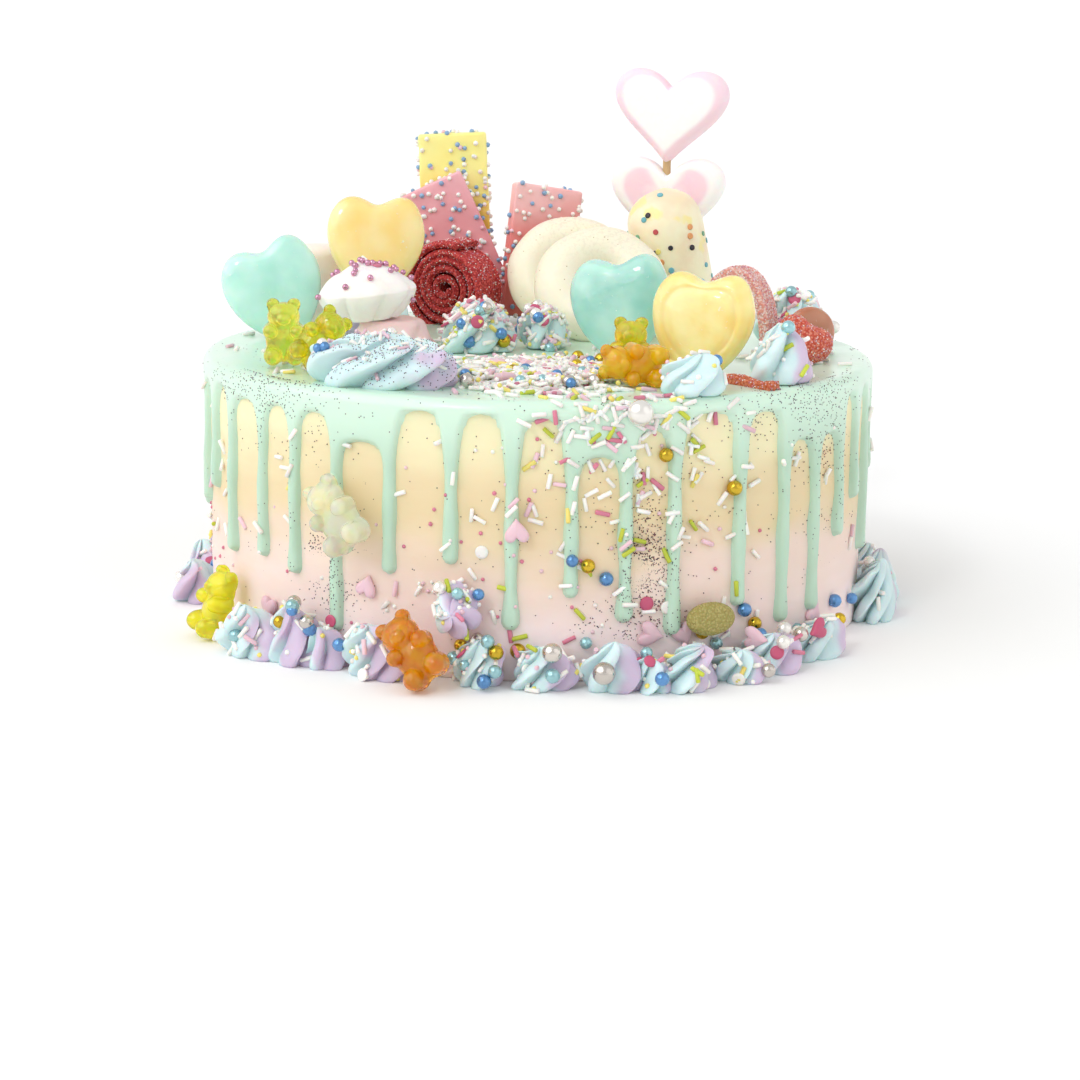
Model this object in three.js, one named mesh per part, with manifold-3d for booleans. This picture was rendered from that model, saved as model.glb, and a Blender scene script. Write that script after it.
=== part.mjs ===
// Drip cake, 20 cm across: a buttercream cake under a mint glaze that runs down its side in drips, with a
// piped border round its foot, and sweets, piped rosettes and sprinkles on top.
// Millimetres, +Z up. The origin is the centre of the flat underside, and the front faces -Y.
import * as THREE from "three";
import { mergeVertices } from "three/addons/utils/BufferGeometryUtils.js";
import Module from "manifold-3d";

const wasm = await Module();
wasm.setup();

// Driving dimensions
const CAKE_R = 99;
const CAKE_H = 75.5;
const EDGE_R = 3;
const GAP = 0.3;
const GLAZE_TOP_T = 1.2;
const GLAZE_SIDE_T = 1.7;
const DRIP_T = 2.3;
const DRIP_HALF_W = 2.4;
const DRIP_PITCH_DEG = 9.25;
const RIM_DROP = 3.6;
const INNER_DROP = 2.6;
const BEAR_H = 19;
const CANDY_HEART = { width: 30.3, height: 31.2 };
const MARSHMALLOW_HEART = { width: 37, height: 29.5 };
const DOUGHNUT = { ringR: 13.2, tubeR: 7.6 };
const SKEWER_R = 1.3;

const TOP = CAKE_H + GAP + GLAZE_TOP_T;
const SEAT = TOP + GAP;
const GLAZE_IN_R = CAKE_R + GAP;

// Where the drips show: angle from the front, in degrees and growing to the right, height of the drip's end, and
// height of the arch on its right
const SEEN_DRIPS = [
  [-79, 33, 70], [-70, 40, 71], [-61, 24, 69], [-50.5, 26, 70], [-42.3, 24, 69.7], [-33.4, 9, 62.8],
  [-23.8, 27, 71.4], [-13.6, 32, 71.4], [-4, 15, 71.2], [5.6, 24, 61.6], [14.1, 17, 69], [22.7, 12, 71.3],
  [34.2, 18, 71], [43.8, 11, 62], [52, 12, 61.6], [60.3, 31, 70], [67.7, 40, 71.4], [75.5, 22, 70],
];

// Where the border shows: the node of each rosette, its angle, how far its foot reaches from the axis, half its
// length and its height. Rosettes that touch share a node.
const SEEN_BORDER = [
  { node: 1, angle: -85, reach: 110.5, half: 10.5, h: 13 },
  { node: 2, angle: -47, reach: 116, half: 9.5, h: 15 },
  { node: 2, angle: -39.4, reach: 112, half: 9, h: 17 },
  { node: 2, angle: -33.6, reach: 109.5, half: 6, h: 12 },
  { node: 3, angle: -23.6, reach: 111.5, half: 11, h: 16 },
  { node: 4, angle: -8.2, reach: 109.5, half: 7.8, h: 13.5 },
  { node: 5, angle: 1.6, reach: 111, half: 10, h: 12 },
  { node: 6, angle: 11.6, reach: 114, half: 8.6, h: 14.5 },
  { node: 6, angle: 16.8, reach: 115.5, half: 6.4, h: 9.5 },
  { node: 6, angle: 22, reach: 119, half: 9, h: 12.5 },
  { node: 7, angle: 30.7, reach: 117, half: 7.4, h: 9.5 },
  { node: 7, angle: 37.8, reach: 114, half: 9.4, h: 12 },
  { node: 8, angle: 49.6, reach: 111.5, half: 12, h: 12 },
  { node: 9, angle: 79, reach: 111, half: 13, h: 19 },
];
const BACK_GROUPS = 5;
const BACK_PITCH_DEG = 11.5;

const rad = THREE.MathUtils.degToRad;

// A repeatable value from 0 to 1 for a whole number
function chance(k) {
  const v = Math.sin(k * 12.9898 + 4.1) * 43758.5453;
  return v - Math.floor(v);
}

function paint(colour, roughness = 0.5) {
  return new THREE.MeshStandardMaterial({ color: colour, roughness, metalness: 0 });
}

const PAINTS = {
  buttercream: paint(0xf8e6d2, 0.6),
  glaze: paint(0xbfe6cf, 0.25),
  piped: paint(0xc4e6e2, 0.55),
  piped_lilac: paint(0xd9c6e4, 0.55),
  jelly_mint: paint(0xa6e6d4, 0.2),
  jelly_yellow: paint(0xfbdb7c, 0.2),
  gummy_green: paint(0xb8bf2e, 0.2),
  gummy_orange: paint(0xe2960f, 0.2),
  gummy_yellow: paint(0xfbd60c, 0.2),
  gummy_pale: paint(0xeef0b4, 0.2),
  meringue_white: paint(0xfbf4ee, 0.5),
  meringue_pink: paint(0xeac6c4, 0.5),
  chocolate_pink: paint(0xe89aa4, 0.35),
  chocolate_yellow: paint(0xf7d35c, 0.35),
  chocolate_white: paint(0xf4edd6, 0.35),
  coating_confetti: paint(0xf9e8bd, 0.4),
  sour_red: paint(0xa2393e, 0.7),
  sour_orange: paint(0xd9785e, 0.7),
  cola: paint(0xb07c50, 0.3),
  olive: paint(0x9c8c4a, 0.5),
  marshmallow_pink: paint(0xf7d9df, 0.8),
  marshmallow_white: paint(0xfdf6ee, 0.8),
  marshmallow_peach: paint(0xfadfc8, 0.8),
  wood: paint(0xcaa878, 0.7),
};

// A closed skin built up from points and faces; points at one place are one point, and flat faces are dropped
class Skin {
  constructor() {
    this.positions = [];
    this.faces = [];
    this.seen = new Map();
  }

  point([x, y, z]) {
    const key = [x, y, z].map((v) => Math.round(v * 1e4)).join();
    if (!this.seen.has(key)) {
      this.seen.set(key, this.positions.length / 3);
      this.positions.push(x, y, z);
    }
    return this.seen.get(key);
  }

  triangle(a, b, c) {
    const [i, j, k] = [a, b, c].map((p) => this.point(p));
    if (i !== j && j !== k && k !== i) this.faces.push(i, j, k);
  }

  // Joins two rows of as many points; both run counter-clockwise as seen from the second row's side
  strip(low, high) {
    low.forEach((a, i) => {
      const j = (i + 1) % low.length;
      this.triangle(a, low[j], high[j]);
      this.triangle(a, high[j], high[i]);
    });
  }

  fanUp(row, tip) {
    row.forEach((a, i) => this.triangle(a, row[(i + 1) % row.length], tip));
  }

  fanDown(row, tip) {
    row.forEach((a, i) => this.triangle(row[(i + 1) % row.length], a, tip));
  }

  geometry() {
    return new THREE.BufferGeometry()
      .setAttribute("position", new THREE.Float32BufferAttribute(this.positions, 3))
      .setIndex(this.faces);
  }
}

function middle(row) {
  const sum = row.reduce((s, p) => s.map((v, i) => v + p[i]), [0, 0, 0]);
  return sum.map((v) => v / row.length);
}

// A closed form through rings of points that go up, flat at both ends or ending in a tip
function loft(rings, tip) {
  const skin = new Skin();
  skin.fanDown(rings[0], middle(rings[0]));
  rings.slice(1).forEach((ring, i) => skin.strip(rings[i], ring));
  const last = rings[rings.length - 1];
  skin.fanUp(last, tip ?? middle(last));
  return skin.geometry();
}

function toSolid(geometry, matrix) {
  const bare = (geometry.index ? geometry.toNonIndexed() : geometry.clone());
  const positions = new THREE.BufferGeometry().setAttribute("position", bare.getAttribute("position"));
  if (matrix) positions.applyMatrix4(matrix);
  const merged = mergeVertices(positions, 1e-4);
  return new wasm.Manifold(
    new wasm.Mesh({
      numProp: 3,
      vertProperties: new Float32Array(merged.attributes.position.array),
      triVerts: new Uint32Array(merged.index.array),
    }),
  );
}

function toGeometry(solid) {
  const { vertProperties, triVerts } = solid.getMesh();
  return new THREE.BufferGeometry()
    .setAttribute("position", new THREE.Float32BufferAttribute(vertProperties, 3))
    .setIndex([...triVerts]);
}

// The part of a form that lies below a level
function cutAbove(geometry, level) {
  const reach = 80;
  const above = new THREE.BoxGeometry(reach, reach, reach).translate(0, 0, level + reach / 2);
  return toGeometry(toSolid(geometry).subtract(toSolid(above)));
}

function join(solids) {
  return solids.reduce((a, b) => a.add(b));
}

function named(name, geometry, material) {
  const made = new THREE.Mesh(geometry, material);
  made.name = name;
  return made;
}

// Stands a mesh on the level z: rolled clockwise as seen from the front, leant back, turned about Z, and then
// let down by sunk and cut off flat at that level
function stand(mesh, { x, y, z = SEAT, yaw = 0, lean = 0, roll = 0, sunk = 0 }) {
  mesh.rotation.order = "ZXY";
  mesh.rotation.set(-rad(lean), rad(roll), rad(yaw));
  mesh.position.set(x, y, 0);
  mesh.updateMatrixWorld(true);
  const low = new THREE.Box3().setFromObject(mesh, true).min.z;
  mesh.position.z = z - low - sunk;
  mesh.updateMatrixWorld(true);
  if (sunk > 0) {
    const reach = 200;
    const below = new THREE.BoxGeometry(reach, reach, reach).translate(x, y, z - reach / 2);
    const cut = toSolid(mesh.geometry, mesh.matrixWorld).subtract(toSolid(below));
    mesh.geometry = toGeometry(cut);
    mesh.rotation.set(0, 0, 0);
    mesh.position.set(0, 0, 0);
  }
  return mesh;
}

function ellipsoid([x, y, z], [a, b, c], around = 8, down = 6) {
  return new THREE.SphereGeometry(1, around, down).rotateX(Math.PI / 2).scale(a, b, c).translate(x, y, z);
}

// Heart outline in X and Z with its tip at the origin, as sums of sines and cosines scaled to its size. The
// first two figures shape its width, the next four its height: more of the higher terms cut the notch deeper.
const PLUMP = { across: [13, -1.4, 0.4], up: [15.5, -2.2, -1.9, -0.95], widest: 29.6, lowest: 16.8, tallest: 30.1 };
const NOTCHED = { across: [12.6, -3], up: [13, -4.8, -1.6, -0.6], widest: 30.4, lowest: 16.8, tallest: 27.4 };

function heartOutline({ width, height, form }, points) {
  return Array.from({ length: points }, (_, i) => {
    const t = Math.PI + (2 * Math.PI * (i + 0.5)) / points;
    const across = form.across.reduce((sum, v, n) => sum + v * Math.sin((2 * n + 1) * t), 0);
    const up = form.up.reduce((sum, v, n) => sum + v * Math.cos((n + 1) * t), 0);
    return [(across * width) / form.widest, ((up + form.lowest) * height) / form.tallest];
  });
}

// A heart whose faces dome or dip: each [share of the outline, share of the thickness] is one ring
function heart(size, thickness, profile, points = 16) {
  const outline = heartOutline(size, points);
  const centreZ = size.height * 0.56;
  const ring = ([share, level]) =>
    outline.map(([x, z]) => [x * share, level * thickness, centreZ + (z - centreZ) * share]);
  return loft(profile.map(ring));
}

const PUFFY = [[0.6, -0.5], [0.9, -0.36], [1, 0], [0.9, 0.36], [0.6, 0.5]];
const SLAB = [[0.9, -0.5], [1, -0.3], [1, 0.3], [0.9, 0.5]];
const FLAT = [[0.9, -0.5], [1, -0.3], [0.9, 0.5]];

// A piped star swirl: a star section that turns and draws in as it rises to a point
function rosette({ rx, ry, h, ridges = 6, twist = 70, phase = 0, groove = 0.74 }) {
  const profile = [[0, 1], [0.42, 0.88], [0.76, 0.48]];
  const ring = ([level, share]) =>
    Array.from({ length: ridges * 2 }, (_, i) => {
      const angle = (Math.PI * i) / ridges + rad(phase + twist * level);
      const reach = share * (i % 2 ? groove : 1);
      return [rx * reach * Math.cos(angle), ry * reach * Math.sin(angle), h * level];
    });
  return loft(profile.map(ring), [rx * 0.06, 0, h]);
}

// Sprinkles, lying on the plane z = 0 and sunk a little into it
const SPRINKLES = {
  pearl: (r) => new THREE.SphereGeometry(r, 5, 4).rotateX(Math.PI / 2).translate(0, 0, r * 0.55),
  rod: (length) =>
    new THREE.CylinderGeometry(0.95, 0.95, length, 5).translate(0, 0, 0.5),
  disc: (r) => new THREE.CylinderGeometry(r, r, 1.5, 8).rotateX(Math.PI / 2).translate(0, 0, 0.45),
  heart: (width) =>
    heart({ width, height: width, form: PLUMP }, 2, FLAT, 10).rotateX(-Math.PI / 2).translate(0, -width / 2, 0.6),
};

// The cake: a smooth drum with a rounded upper edge
function cakeDrum() {
  const steps = 2;
  const profile = [new THREE.Vector2(0, 0), new THREE.Vector2(CAKE_R - 0.6, 0), new THREE.Vector2(CAKE_R, 1)];
  for (let i = 0; i <= steps; i++) {
    const a = ((Math.PI / 2) * i) / steps;
    profile.push(
      new THREE.Vector2(CAKE_R - EDGE_R + EDGE_R * Math.cos(a), CAKE_H - EDGE_R + EDGE_R * Math.sin(a)),
    );
  }
  profile.push(new THREE.Vector2(0, CAKE_H));
  return new THREE.LatheGeometry(profile, 60).rotateX(Math.PI / 2);
}

// Every drip round the cake: its angle, the height of its end and the height of the arch on its right
function allDrips() {
  const drips = SEEN_DRIPS.map(([angle, end, arch]) => ({ angle, end, arch }));
  const first = drips[0].angle + 360;
  const last = drips[drips.length - 1].angle;
  const hidden = Math.round((first - last) / DRIP_PITCH_DEG) - 1;
  for (let k = 1; k <= hidden; k++) {
    const wander = (chance(k) - 0.5) * 2.4;
    const angle = last + ((first - last) * k) / (hidden + 1) + wander;
    drips.push({ angle, end: 16 + 28 * chance(k + 60), arch: 71 - 8 * chance(k + 120) ** 2 });
  }
  return drips;
}

const DRIPS = allDrips();

function onDrum(angleDeg, r, z) {
  return [r * Math.sin(rad(angleDeg)), -r * Math.cos(rad(angleDeg)), z];
}

// One drip's share of the glaze, from the middle of the gap on its left to the middle of the gap on its right.
// A column is an angle, the height where its skin starts to fall away, the height of its foot, and its bulge.
function dripColumns(k) {
  const drip = DRIPS[k];
  const before = DRIPS[(k + DRIPS.length - 1) % DRIPS.length];
  const after = DRIPS[(k + 1) % DRIPS.length];
  const halfW = (DRIP_HALF_W / CAKE_R) * (180 / Math.PI);
  const side = (gap, arch, sign) => {
    const slot = gap - halfW;
    return [
      { angle: drip.angle + sign * gap, foot: arch, bulge: 0.75, start: arch },
      { angle: drip.angle + sign * (halfW + slot * 0.2), foot: arch - 4, bulge: 0.8, start: arch },
      { angle: drip.angle + sign * halfW, foot: drip.end + 2.2, bulge: 0.35, start: arch - 4 },
      { angle: drip.angle + sign * halfW * 0.55, foot: drip.end + 0.8, bulge: 0.85, start: arch - 4 },
    ];
  };
  const gapLeft = ((drip.angle - before.angle + 360) % 360) / 2;
  const gapRight = ((after.angle - drip.angle + 360) % 360) / 2;
  const left = side(gapLeft, before.arch, -1);
  const right = side(gapRight, drip.arch, 1).reverse().slice(0, -1);
  const crest = { angle: drip.angle, foot: drip.end, bulge: 1, start: (before.arch + drip.arch) / 2 - 4 };
  return [...left, crest, ...right];
}

// The glaze: a disc over the top, a rounded rim, and the drips, which end in a thin edge on the cake
function glazeShell() {
  const skin = new Skin();
  const rimR = GLAZE_IN_R + GLAZE_SIDE_T;
  const upperOf = (r, z) => DRIPS.map((drip, k) => {
    const before = DRIPS[(k + DRIPS.length - 1) % DRIPS.length];
    const gap = ((drip.angle - before.angle + 360) % 360) / 2;
    return [onDrum(drip.angle - gap, r, z), onDrum(drip.angle, r, z)];
  });
  const columns = DRIPS.map((_, k) => dripColumns(k));
  const skinPoint = (column, level) => {
    const r = GLAZE_IN_R + (level === "start" ? GLAZE_SIDE_T : DRIP_T) * column.bulge;
    const full = Math.min(column.foot + 2.5, (column.start + column.foot) / 2);
    const z = { start: column.start, full, foot: column.foot }[level];
    return onDrum(column.angle, level === "foot" ? GLAZE_IN_R : r, z);
  };
  const rim = upperOf(rimR, TOP - RIM_DROP);
  const inner = upperOf(GLAZE_IN_R, TOP - INNER_DROP);
  const last = DRIPS.length - 1;
  const nextOf = (rows, k) => rows[k === last ? 0 : k + 1];
  // Joins the rim's two points a drip to that drip's eight columns
  const meet = (upper, point, face) => {
    columns.forEach((own, k) => {
      const row = [...own, nextOf(columns, k)[0]].map(point);
      const [gap, crest] = upper[k];
      const nextGap = nextOf(upper, k)[0];
      row.slice(1).forEach((b, i) => face(row[i], b, i < 2 ? gap : i < 6 ? crest : nextGap));
      face(row[2], crest, gap);
      face(row[6], nextGap, crest);
    });
  };
  const flat = (rows) => rows.flat();
  const level = (name) => columns.flat().map((column) => skinPoint(column, name));
  skin.strip(level("foot"), level("full"));
  skin.strip(level("full"), level("start"));
  meet(rim, (column) => skinPoint(column, "start"), (a, b, c) => skin.triangle(a, b, c));
  const shoulder = flat(upperOf(rimR - RIM_DROP * 0.3, TOP - RIM_DROP * 0.28));
  const brow = flat(upperOf(rimR - RIM_DROP * 1.25, TOP));
  skin.strip(flat(rim), shoulder);
  skin.strip(shoulder, brow);
  skin.fanUp(brow, [0, 0, TOP]);
  meet(inner, (column) => skinPoint(column, "foot"), (a, b, c) => skin.triangle(a, c, b));
  const lid = flat(upperOf(GLAZE_IN_R, CAKE_H + GAP));
  skin.strip(lid, flat(inner));
  skin.fanDown(lid, [0, 0, CAKE_H + GAP]);
  return skin.geometry();
}

// Sprinkles on the side: kind, size, angle from the front, height, and turn, where they show one by one
const SIDE_SPRINKLES = [
  ["pearl", 4, 16.3, 72.5, 0], ["pearl", 2.2, 20.2, 60.5, 0], ["pearl", 2.2, 31.4, 51.5, 0],
  ["pearl", 2, 5.6, 35, 0], ["pearl", 2, 9.2, 32.5, 0], ["pearl", 2, 11.6, 28.8, 0],
  ["pearl", 2, -8.6, 24.4, 0], ["disc", 2.4, -8.9, 36, 0], ["disc", 2.4, 17.5, 21.4, 0],
  ["disc", 2.4, 23, 21, 0], ["heart", 8, -4, 42.5, 10], ["heart", 9, -28.2, 24, 25],
  ["disc", 2.3, -33.4, 19, 0],
  ["rod", 7, 9.5, 64, 70], ["rod", 6, 18.3, 52, 20], ["rod", 6, 29, 46, -15], ["rod", 6, 27.6, 31, 5],
  ["rod", 6, 1.2, 57, 30], ["rod", 6, -9.6, 50, -40], ["rod", 6, 1.8, 38, 60], ["rod", 6, 10.2, 43, 15],
  ["rod", 5, 18.8, 42, -50], ["rod", 6, 10.4, 20, -8], ["rod", 5, -8.8, 42, 35], ["rod", 6, 27, 60, 50],
];
const LOOSE_RODS = 2;

// Carries a sprinkle from the plane z = 0 onto an upright wall
function sideFrame(angleDeg, r, z, turnDeg) {
  const out = new THREE.Vector3(...onDrum(angleDeg, 1, 0));
  const up = new THREE.Vector3(0, 0, 1);
  const along = new THREE.Vector3().crossVectors(up, out);
  return new THREE.Matrix4()
    .makeBasis(along, up, out)
    .setPosition(new THREE.Vector3(...onDrum(angleDeg, r, z)))
    .multiply(new THREE.Matrix4().makeRotationZ(rad(turnDeg)));
}

// Gives each sprinkle on the side to the cake or to the drip that it lies on, and drops one that lies on both
function sortSideSprinkles(cake, glaze) {
  const scattered = Array.from({ length: LOOSE_RODS }, (_, k) => [
    "rod", 5.5, 90 + 180 * chance(k + 300), 20 + 36 * chance(k + 340), 180 * chance(k + 380),
  ]);
  const [onCake, onGlaze] = [[], []];
  [...SIDE_SPRINKLES, ...scattered].forEach(([kind, size, angle, z, turn]) => {
    const shape = SPRINKLES[kind](size);
    const low = toSolid(shape, sideFrame(angle, CAKE_R, z, turn));
    const margin = toSolid(shape.clone().scale(1.25, 1.25, 1), sideFrame(angle, CAKE_R, z, turn));
    if (margin.intersect(glaze).volume() === 0) {
      onCake.push(low);
      return;
    }
    const high = toSolid(shape, sideFrame(angle, GLAZE_IN_R + DRIP_T - 0.5, z, turn));
    const clear = high.intersect(cake).volume() === 0;
    if (clear && high.intersect(glaze).volume() > 0.5) onGlaze.push(high);
  });
  return { onCake, onGlaze };
}

// The drift of sprinkles on the front of the top: rods and pearls
const DRIFT = { x: 2, y: -56, halfX: 33, halfY: 27, rods: 7, pearls: 3 };
const CLEAR_OF = [
  { x: -43, y: -73, r: 27 }, { x: 42, y: -82, r: 13 }, { x: 25, y: -72, r: 14 }, { x: 27, y: -54, r: 10 },
  { x: 24, y: -18, r: 16 }, { x: 47, y: -46, r: 15 },
];

function isClear(x, y, size) {
  return CLEAR_OF.every((spot) => Math.hypot(x - spot.x, y - spot.y) > spot.r + size);
}

function topSprinkles() {
  const made = [];
  for (let k = 0; made.length < DRIFT.rods + DRIFT.pearls && k < 600; k++) {
    const pearl = made.length >= DRIFT.rods;
    const x = DRIFT.x + DRIFT.halfX * (2 * chance(k + 500) - 1);
    const y = DRIFT.y + DRIFT.halfY * (2 * chance(k + 1200) - 1);
    const size = pearl ? 2 : 6;
    if (!isClear(x, y, size / 2) || Math.hypot(x, y) > CAKE_R - 8) continue;
    const shape = pearl ? SPRINKLES.pearl(size) : SPRINKLES.rod(size);
    const turn = new THREE.Matrix4().makeRotationZ(Math.PI * chance(k + 2000));
    made.push(toSolid(shape, turn.setPosition(x, y, TOP - 0.1)));
  }
  return made;
}

// A low lip of glaze by the rim on the right
function glazeLip() {
  const [x, y, reach] = [58, -77, 20];
  const level = TOP - 0.5;
  const below = new THREE.BoxGeometry(reach, reach, reach).translate(x, y, level - reach / 2);
  return toSolid(ellipsoid([x, y, level], [6.4, 2.6, 3], 10, 6)).subtract(toSolid(below));
}

// Gummy bear, facing -Y and standing on z = 0: flat back, round belly, head, ears, muzzle, arms and legs
function bear(scale = 1) {
  const u = (BEAR_H / 20) * scale;
  const of = (centre, radii, around, down) =>
    toSolid(ellipsoid(centre.map((v) => v * u), radii.map((v) => v * u), around, down));
  const parts = [of([0, 0, 7.6], [5.3, 4.5, 6.9], 6, 4), of([0, -0.6, 15], [4.5, 4.4, 4.1], 6, 4)];
  for (const side of [-1, 1]) {
    parts.push(of([3.1 * side, -0.2, 18.4], [1.6, 1.4, 1.7], 4, 3));
    parts.push(of([4.1 * side, -3, 10.2], [2.1, 3, 2.1], 4, 3));
    parts.push(of([3.5 * side, -3.4, 2.7], [2.6, 3.8, 2.9], 4, 3));
  }
  const reach = 40;
  const behind = new THREE.BoxGeometry(reach, reach, reach).translate(0, reach / 2 + 2.6 * u, 0);
  return toGeometry(join(parts).subtract(toSolid(behind)));
}

// A ring with an oval section, standing upright in X and Z with its lowest point at the origin
function doughnut() {
  const flatness = 0.9;
  return new THREE.TorusGeometry(DOUGHNUT.ringR, DOUGHNUT.tubeR, 7, 16)
    .rotateX(Math.PI / 2)
    .scale(1, flatness, 1)
    .translate(0, 0, DOUGHNUT.ringR + DOUGHNUT.tubeR);
}

// A sour belt wound up: a flat strip that follows a widening spiral, standing on its outer turn
function sourRoll({ outerR, turns, thickness, width, steps = 34 }) {
  const innerR = thickness + 0.8;
  const spiral = (inset) =>
    Array.from({ length: steps + 1 }, (_, i) => {
      const t = i / steps;
      const r = innerR + (outerR - innerR) * t - inset;
      const a = turns * 2 * Math.PI * t;
      return new THREE.Vector2(r * Math.cos(a), r * Math.sin(a));
    });
  const outline = new THREE.Shape([...spiral(0), ...spiral(thickness).reverse()]);
  return new THREE.ExtrudeGeometry(outline, { depth: width, bevelEnabled: false })
    .rotateX(Math.PI / 2)
    .translate(0, width / 2, 0);
}

// A sour belt bent over into an arch
function sourArch({ halfW, height, thickness, width, steps = 12 }) {
  const curve = (grow) =>
    Array.from({ length: steps + 1 }, (_, i) => {
      const a = (Math.PI * i) / steps;
      const lift = Math.sin(a) ** 0.75;
      return new THREE.Vector2((halfW - grow) * Math.cos(a), (height - grow) * lift);
    });
  const outline = [...curve(0), ...curve(thickness).reverse()];
  return new THREE.ExtrudeGeometry(new THREE.Shape(outline), { depth: width, bevelEnabled: false })
    .rotateX(Math.PI / 2)
    .translate(0, width / 2, 0);
}

// A slab of chocolate on its end, with hundreds-and-thousands on its front
function chocolateSlab({ width, height, thickness, beads, seed }) {
  const slab = toSolid(new THREE.BoxGeometry(width, thickness, height).translate(0, 0, height / 2));
  const bits = Array.from({ length: beads }, (_, k) => {
    const x = (chance(seed + k * 2) - 0.5) * (width - 3);
    const z = height * (0.45 + 0.52 * ((k + chance(seed + k * 2 + 1)) / beads));
    return toSolid(new THREE.IcosahedronGeometry(0.95, 0).translate(x, -thickness / 2 - 0.3, z));
  });
  return toGeometry(join([slab, ...bits]));
}

// A dipped marshmallow stick: round at its head and a little narrower at its foot
function confettiStick(height) {
  const profile = [[0, 0.93], [0.3, 0.97], [0.62, 1], [0.84, 0.88], [0.96, 0.5]];
  const headR = 12.3;
  const ring = ([level, share]) =>
    Array.from({ length: 12 }, (_, i) => {
      const a = (Math.PI * i) / 6;
      return [headR * share * Math.cos(a), headR * share * Math.sin(a), height * level];
    });
  return loft(profile.map(ring), [0, 0, height]);
}

// Rings of two kisses of meringue, each as shares of the height and of the reach
const PEAKED = [[0, 0.66], [0.3, 0.97], [0.56, 0.9], [0.72, 0.44], [0.88, 0.2]];
const SPREAD = [[0, 0.94], [0.12, 1], [0.34, 0.8], [0.62, 0.66], [0.84, 0.3]];

function kiss({ r, h, ridges, groove, profile, tipShare = 0.12 }) {
  const ring = ([level, share]) =>
    Array.from({ length: ridges * 2 }, (_, i) => {
      const a = (Math.PI * i) / ridges + level * 0.6;
      const reach = r * share * (i % 2 ? groove : 1);
      return [reach * Math.cos(a), reach * Math.sin(a), h * level];
    });
  return loft(profile.map(ring), [r * tipShare, 0, h]);
}

function plainMarshmallow(r, height) {
  const ring = ([level, share]) =>
    Array.from({ length: 12 }, (_, i) => {
      const a = (Math.PI * i) / 6;
      return [r * share * Math.cos(a), r * share * Math.sin(a), height * level];
    });
  return loft([[0, 0.86], [0.1, 1], [0.88, 1], [1, 0.84]].map(ring));
}

function disc(r, thickness, sides = 12) {
  const ring = ([share, level]) =>
    Array.from({ length: sides }, (_, i) => {
      const a = -(2 * Math.PI * i) / sides;
      return [r * share * Math.cos(a), thickness * level, r + r * share * Math.sin(a)];
    });
  return loft([[0.7, -0.5], [1, -0.15], [1, 0.15], [0.7, 0.5]].map(ring));
}

const cake = new THREE.Group();

// The drum and its glaze, each with the sprinkles that lie on it
const drum = toSolid(cakeDrum());
const shell = toSolid(glazeShell());
const skewerSpot = { x: 41.4, y: 76 };
const SKEWER_FOOT = 40;
const SKEWER_TOP = TOP + 66;
const skewerHole = toSolid(
  new THREE.CylinderGeometry(SKEWER_R + GAP, SKEWER_R + GAP, SKEWER_TOP, 8)
    .rotateX(Math.PI / 2)
    .translate(skewerSpot.x, skewerSpot.y, SKEWER_FOOT - GAP + SKEWER_TOP / 2),
);
const { onCake, onGlaze } = sortSideSprinkles(drum, shell);
cake.add(named("cake", toGeometry(join([drum, ...onCake]).subtract(skewerHole)), PAINTS.buttercream));
cake.add(
  named(
    "drip_glaze",
    toGeometry(join([shell, glazeLip(), ...topSprinkles(), ...onGlaze]).subtract(skewerHole)),
    PAINTS.glaze,
  ),
);

// The border: rosettes pressed against the cake's side and under the low drips, which are cut clear of both
const border = new THREE.Group();
const FACET_GAP = 0.2;
const CUT_R = CAKE_R + GAP + FACET_GAP;
const LOW_DRIP = 24;

function besideCake() {
  const reach = 60;
  const wall = new THREE.CylinderGeometry(CUT_R, CUT_R, reach, 60).rotateX(Math.PI / 2);
  const width = 2 * (DRIP_HALF_W + GAP + FACET_GAP);
  const depth = 2 * (GLAZE_IN_R + DRIP_T + GAP - CAKE_R);
  const low = DRIPS.filter((drip) => drip.end < LOW_DRIP).map((drip) => {
    const bar = new THREE.BoxGeometry(width, depth, reach).translate(0, 0, drip.end - GAP + reach / 2);
    const spot = onDrum(drip.angle, CAKE_R, 0);
    return toSolid(bar, new THREE.Matrix4().makeRotationZ(rad(drip.angle)).setPosition(...spot));
  });
  return join([toSolid(wall), ...low]);
}

const BESIDE = besideCake();
const SHALLOWEST = 7.5;

function borderRosette({ angle, reach, half, h }, phase) {
  const depth = Math.max((reach - CUT_R) / 2, SHALLOWEST);
  const ridges = half < 8 ? 5 : 6;
  const place = new THREE.Matrix4()
    .makeRotationZ(rad(angle))
    .setPosition(...onDrum(angle, reach - depth, 0));
  return toSolid(rosette({ rx: half, ry: depth, h, ridges, phase }), place).subtract(BESIDE);
}

// Pearls and the like that lie on the border: kind, size, angle, distance from the axis and height
const BORDER_PEARLS = [
  ["pearl", 2.4, -39.4, 107, 13.5], ["pearl", 2.2, -7, 106, 9], ["pearl", 3, 2.4, 104.5, 10.2],
  ["pearl", 3.2, 9.6, 109.5, 8], ["pearl", 2.1, 22.6, 112, 10], ["pearl", 2.4, 38.5, 108.5, 9],
];

const seenNodes = Map.groupBy(SEEN_BORDER, (own) => own.node);
for (const [node, members] of seenNodes) {
  const bodies = members.map((own) => borderRosette(own, 60 * chance(own.angle)));
  const body = join(bodies);
  const bits = BORDER_PEARLS.map(([kind, size, angle, r, z]) =>
    toSolid(SPRINKLES[kind](size), new THREE.Matrix4().setPosition(...onDrum(angle, r, z))),
  ).filter((bit) => bit.intersect(body).volume() > 1);
  border.add(named(`border_${String(node).padStart(2, "0")}`, toGeometry(join([body, ...bits])), PAINTS.piped));
}

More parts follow.
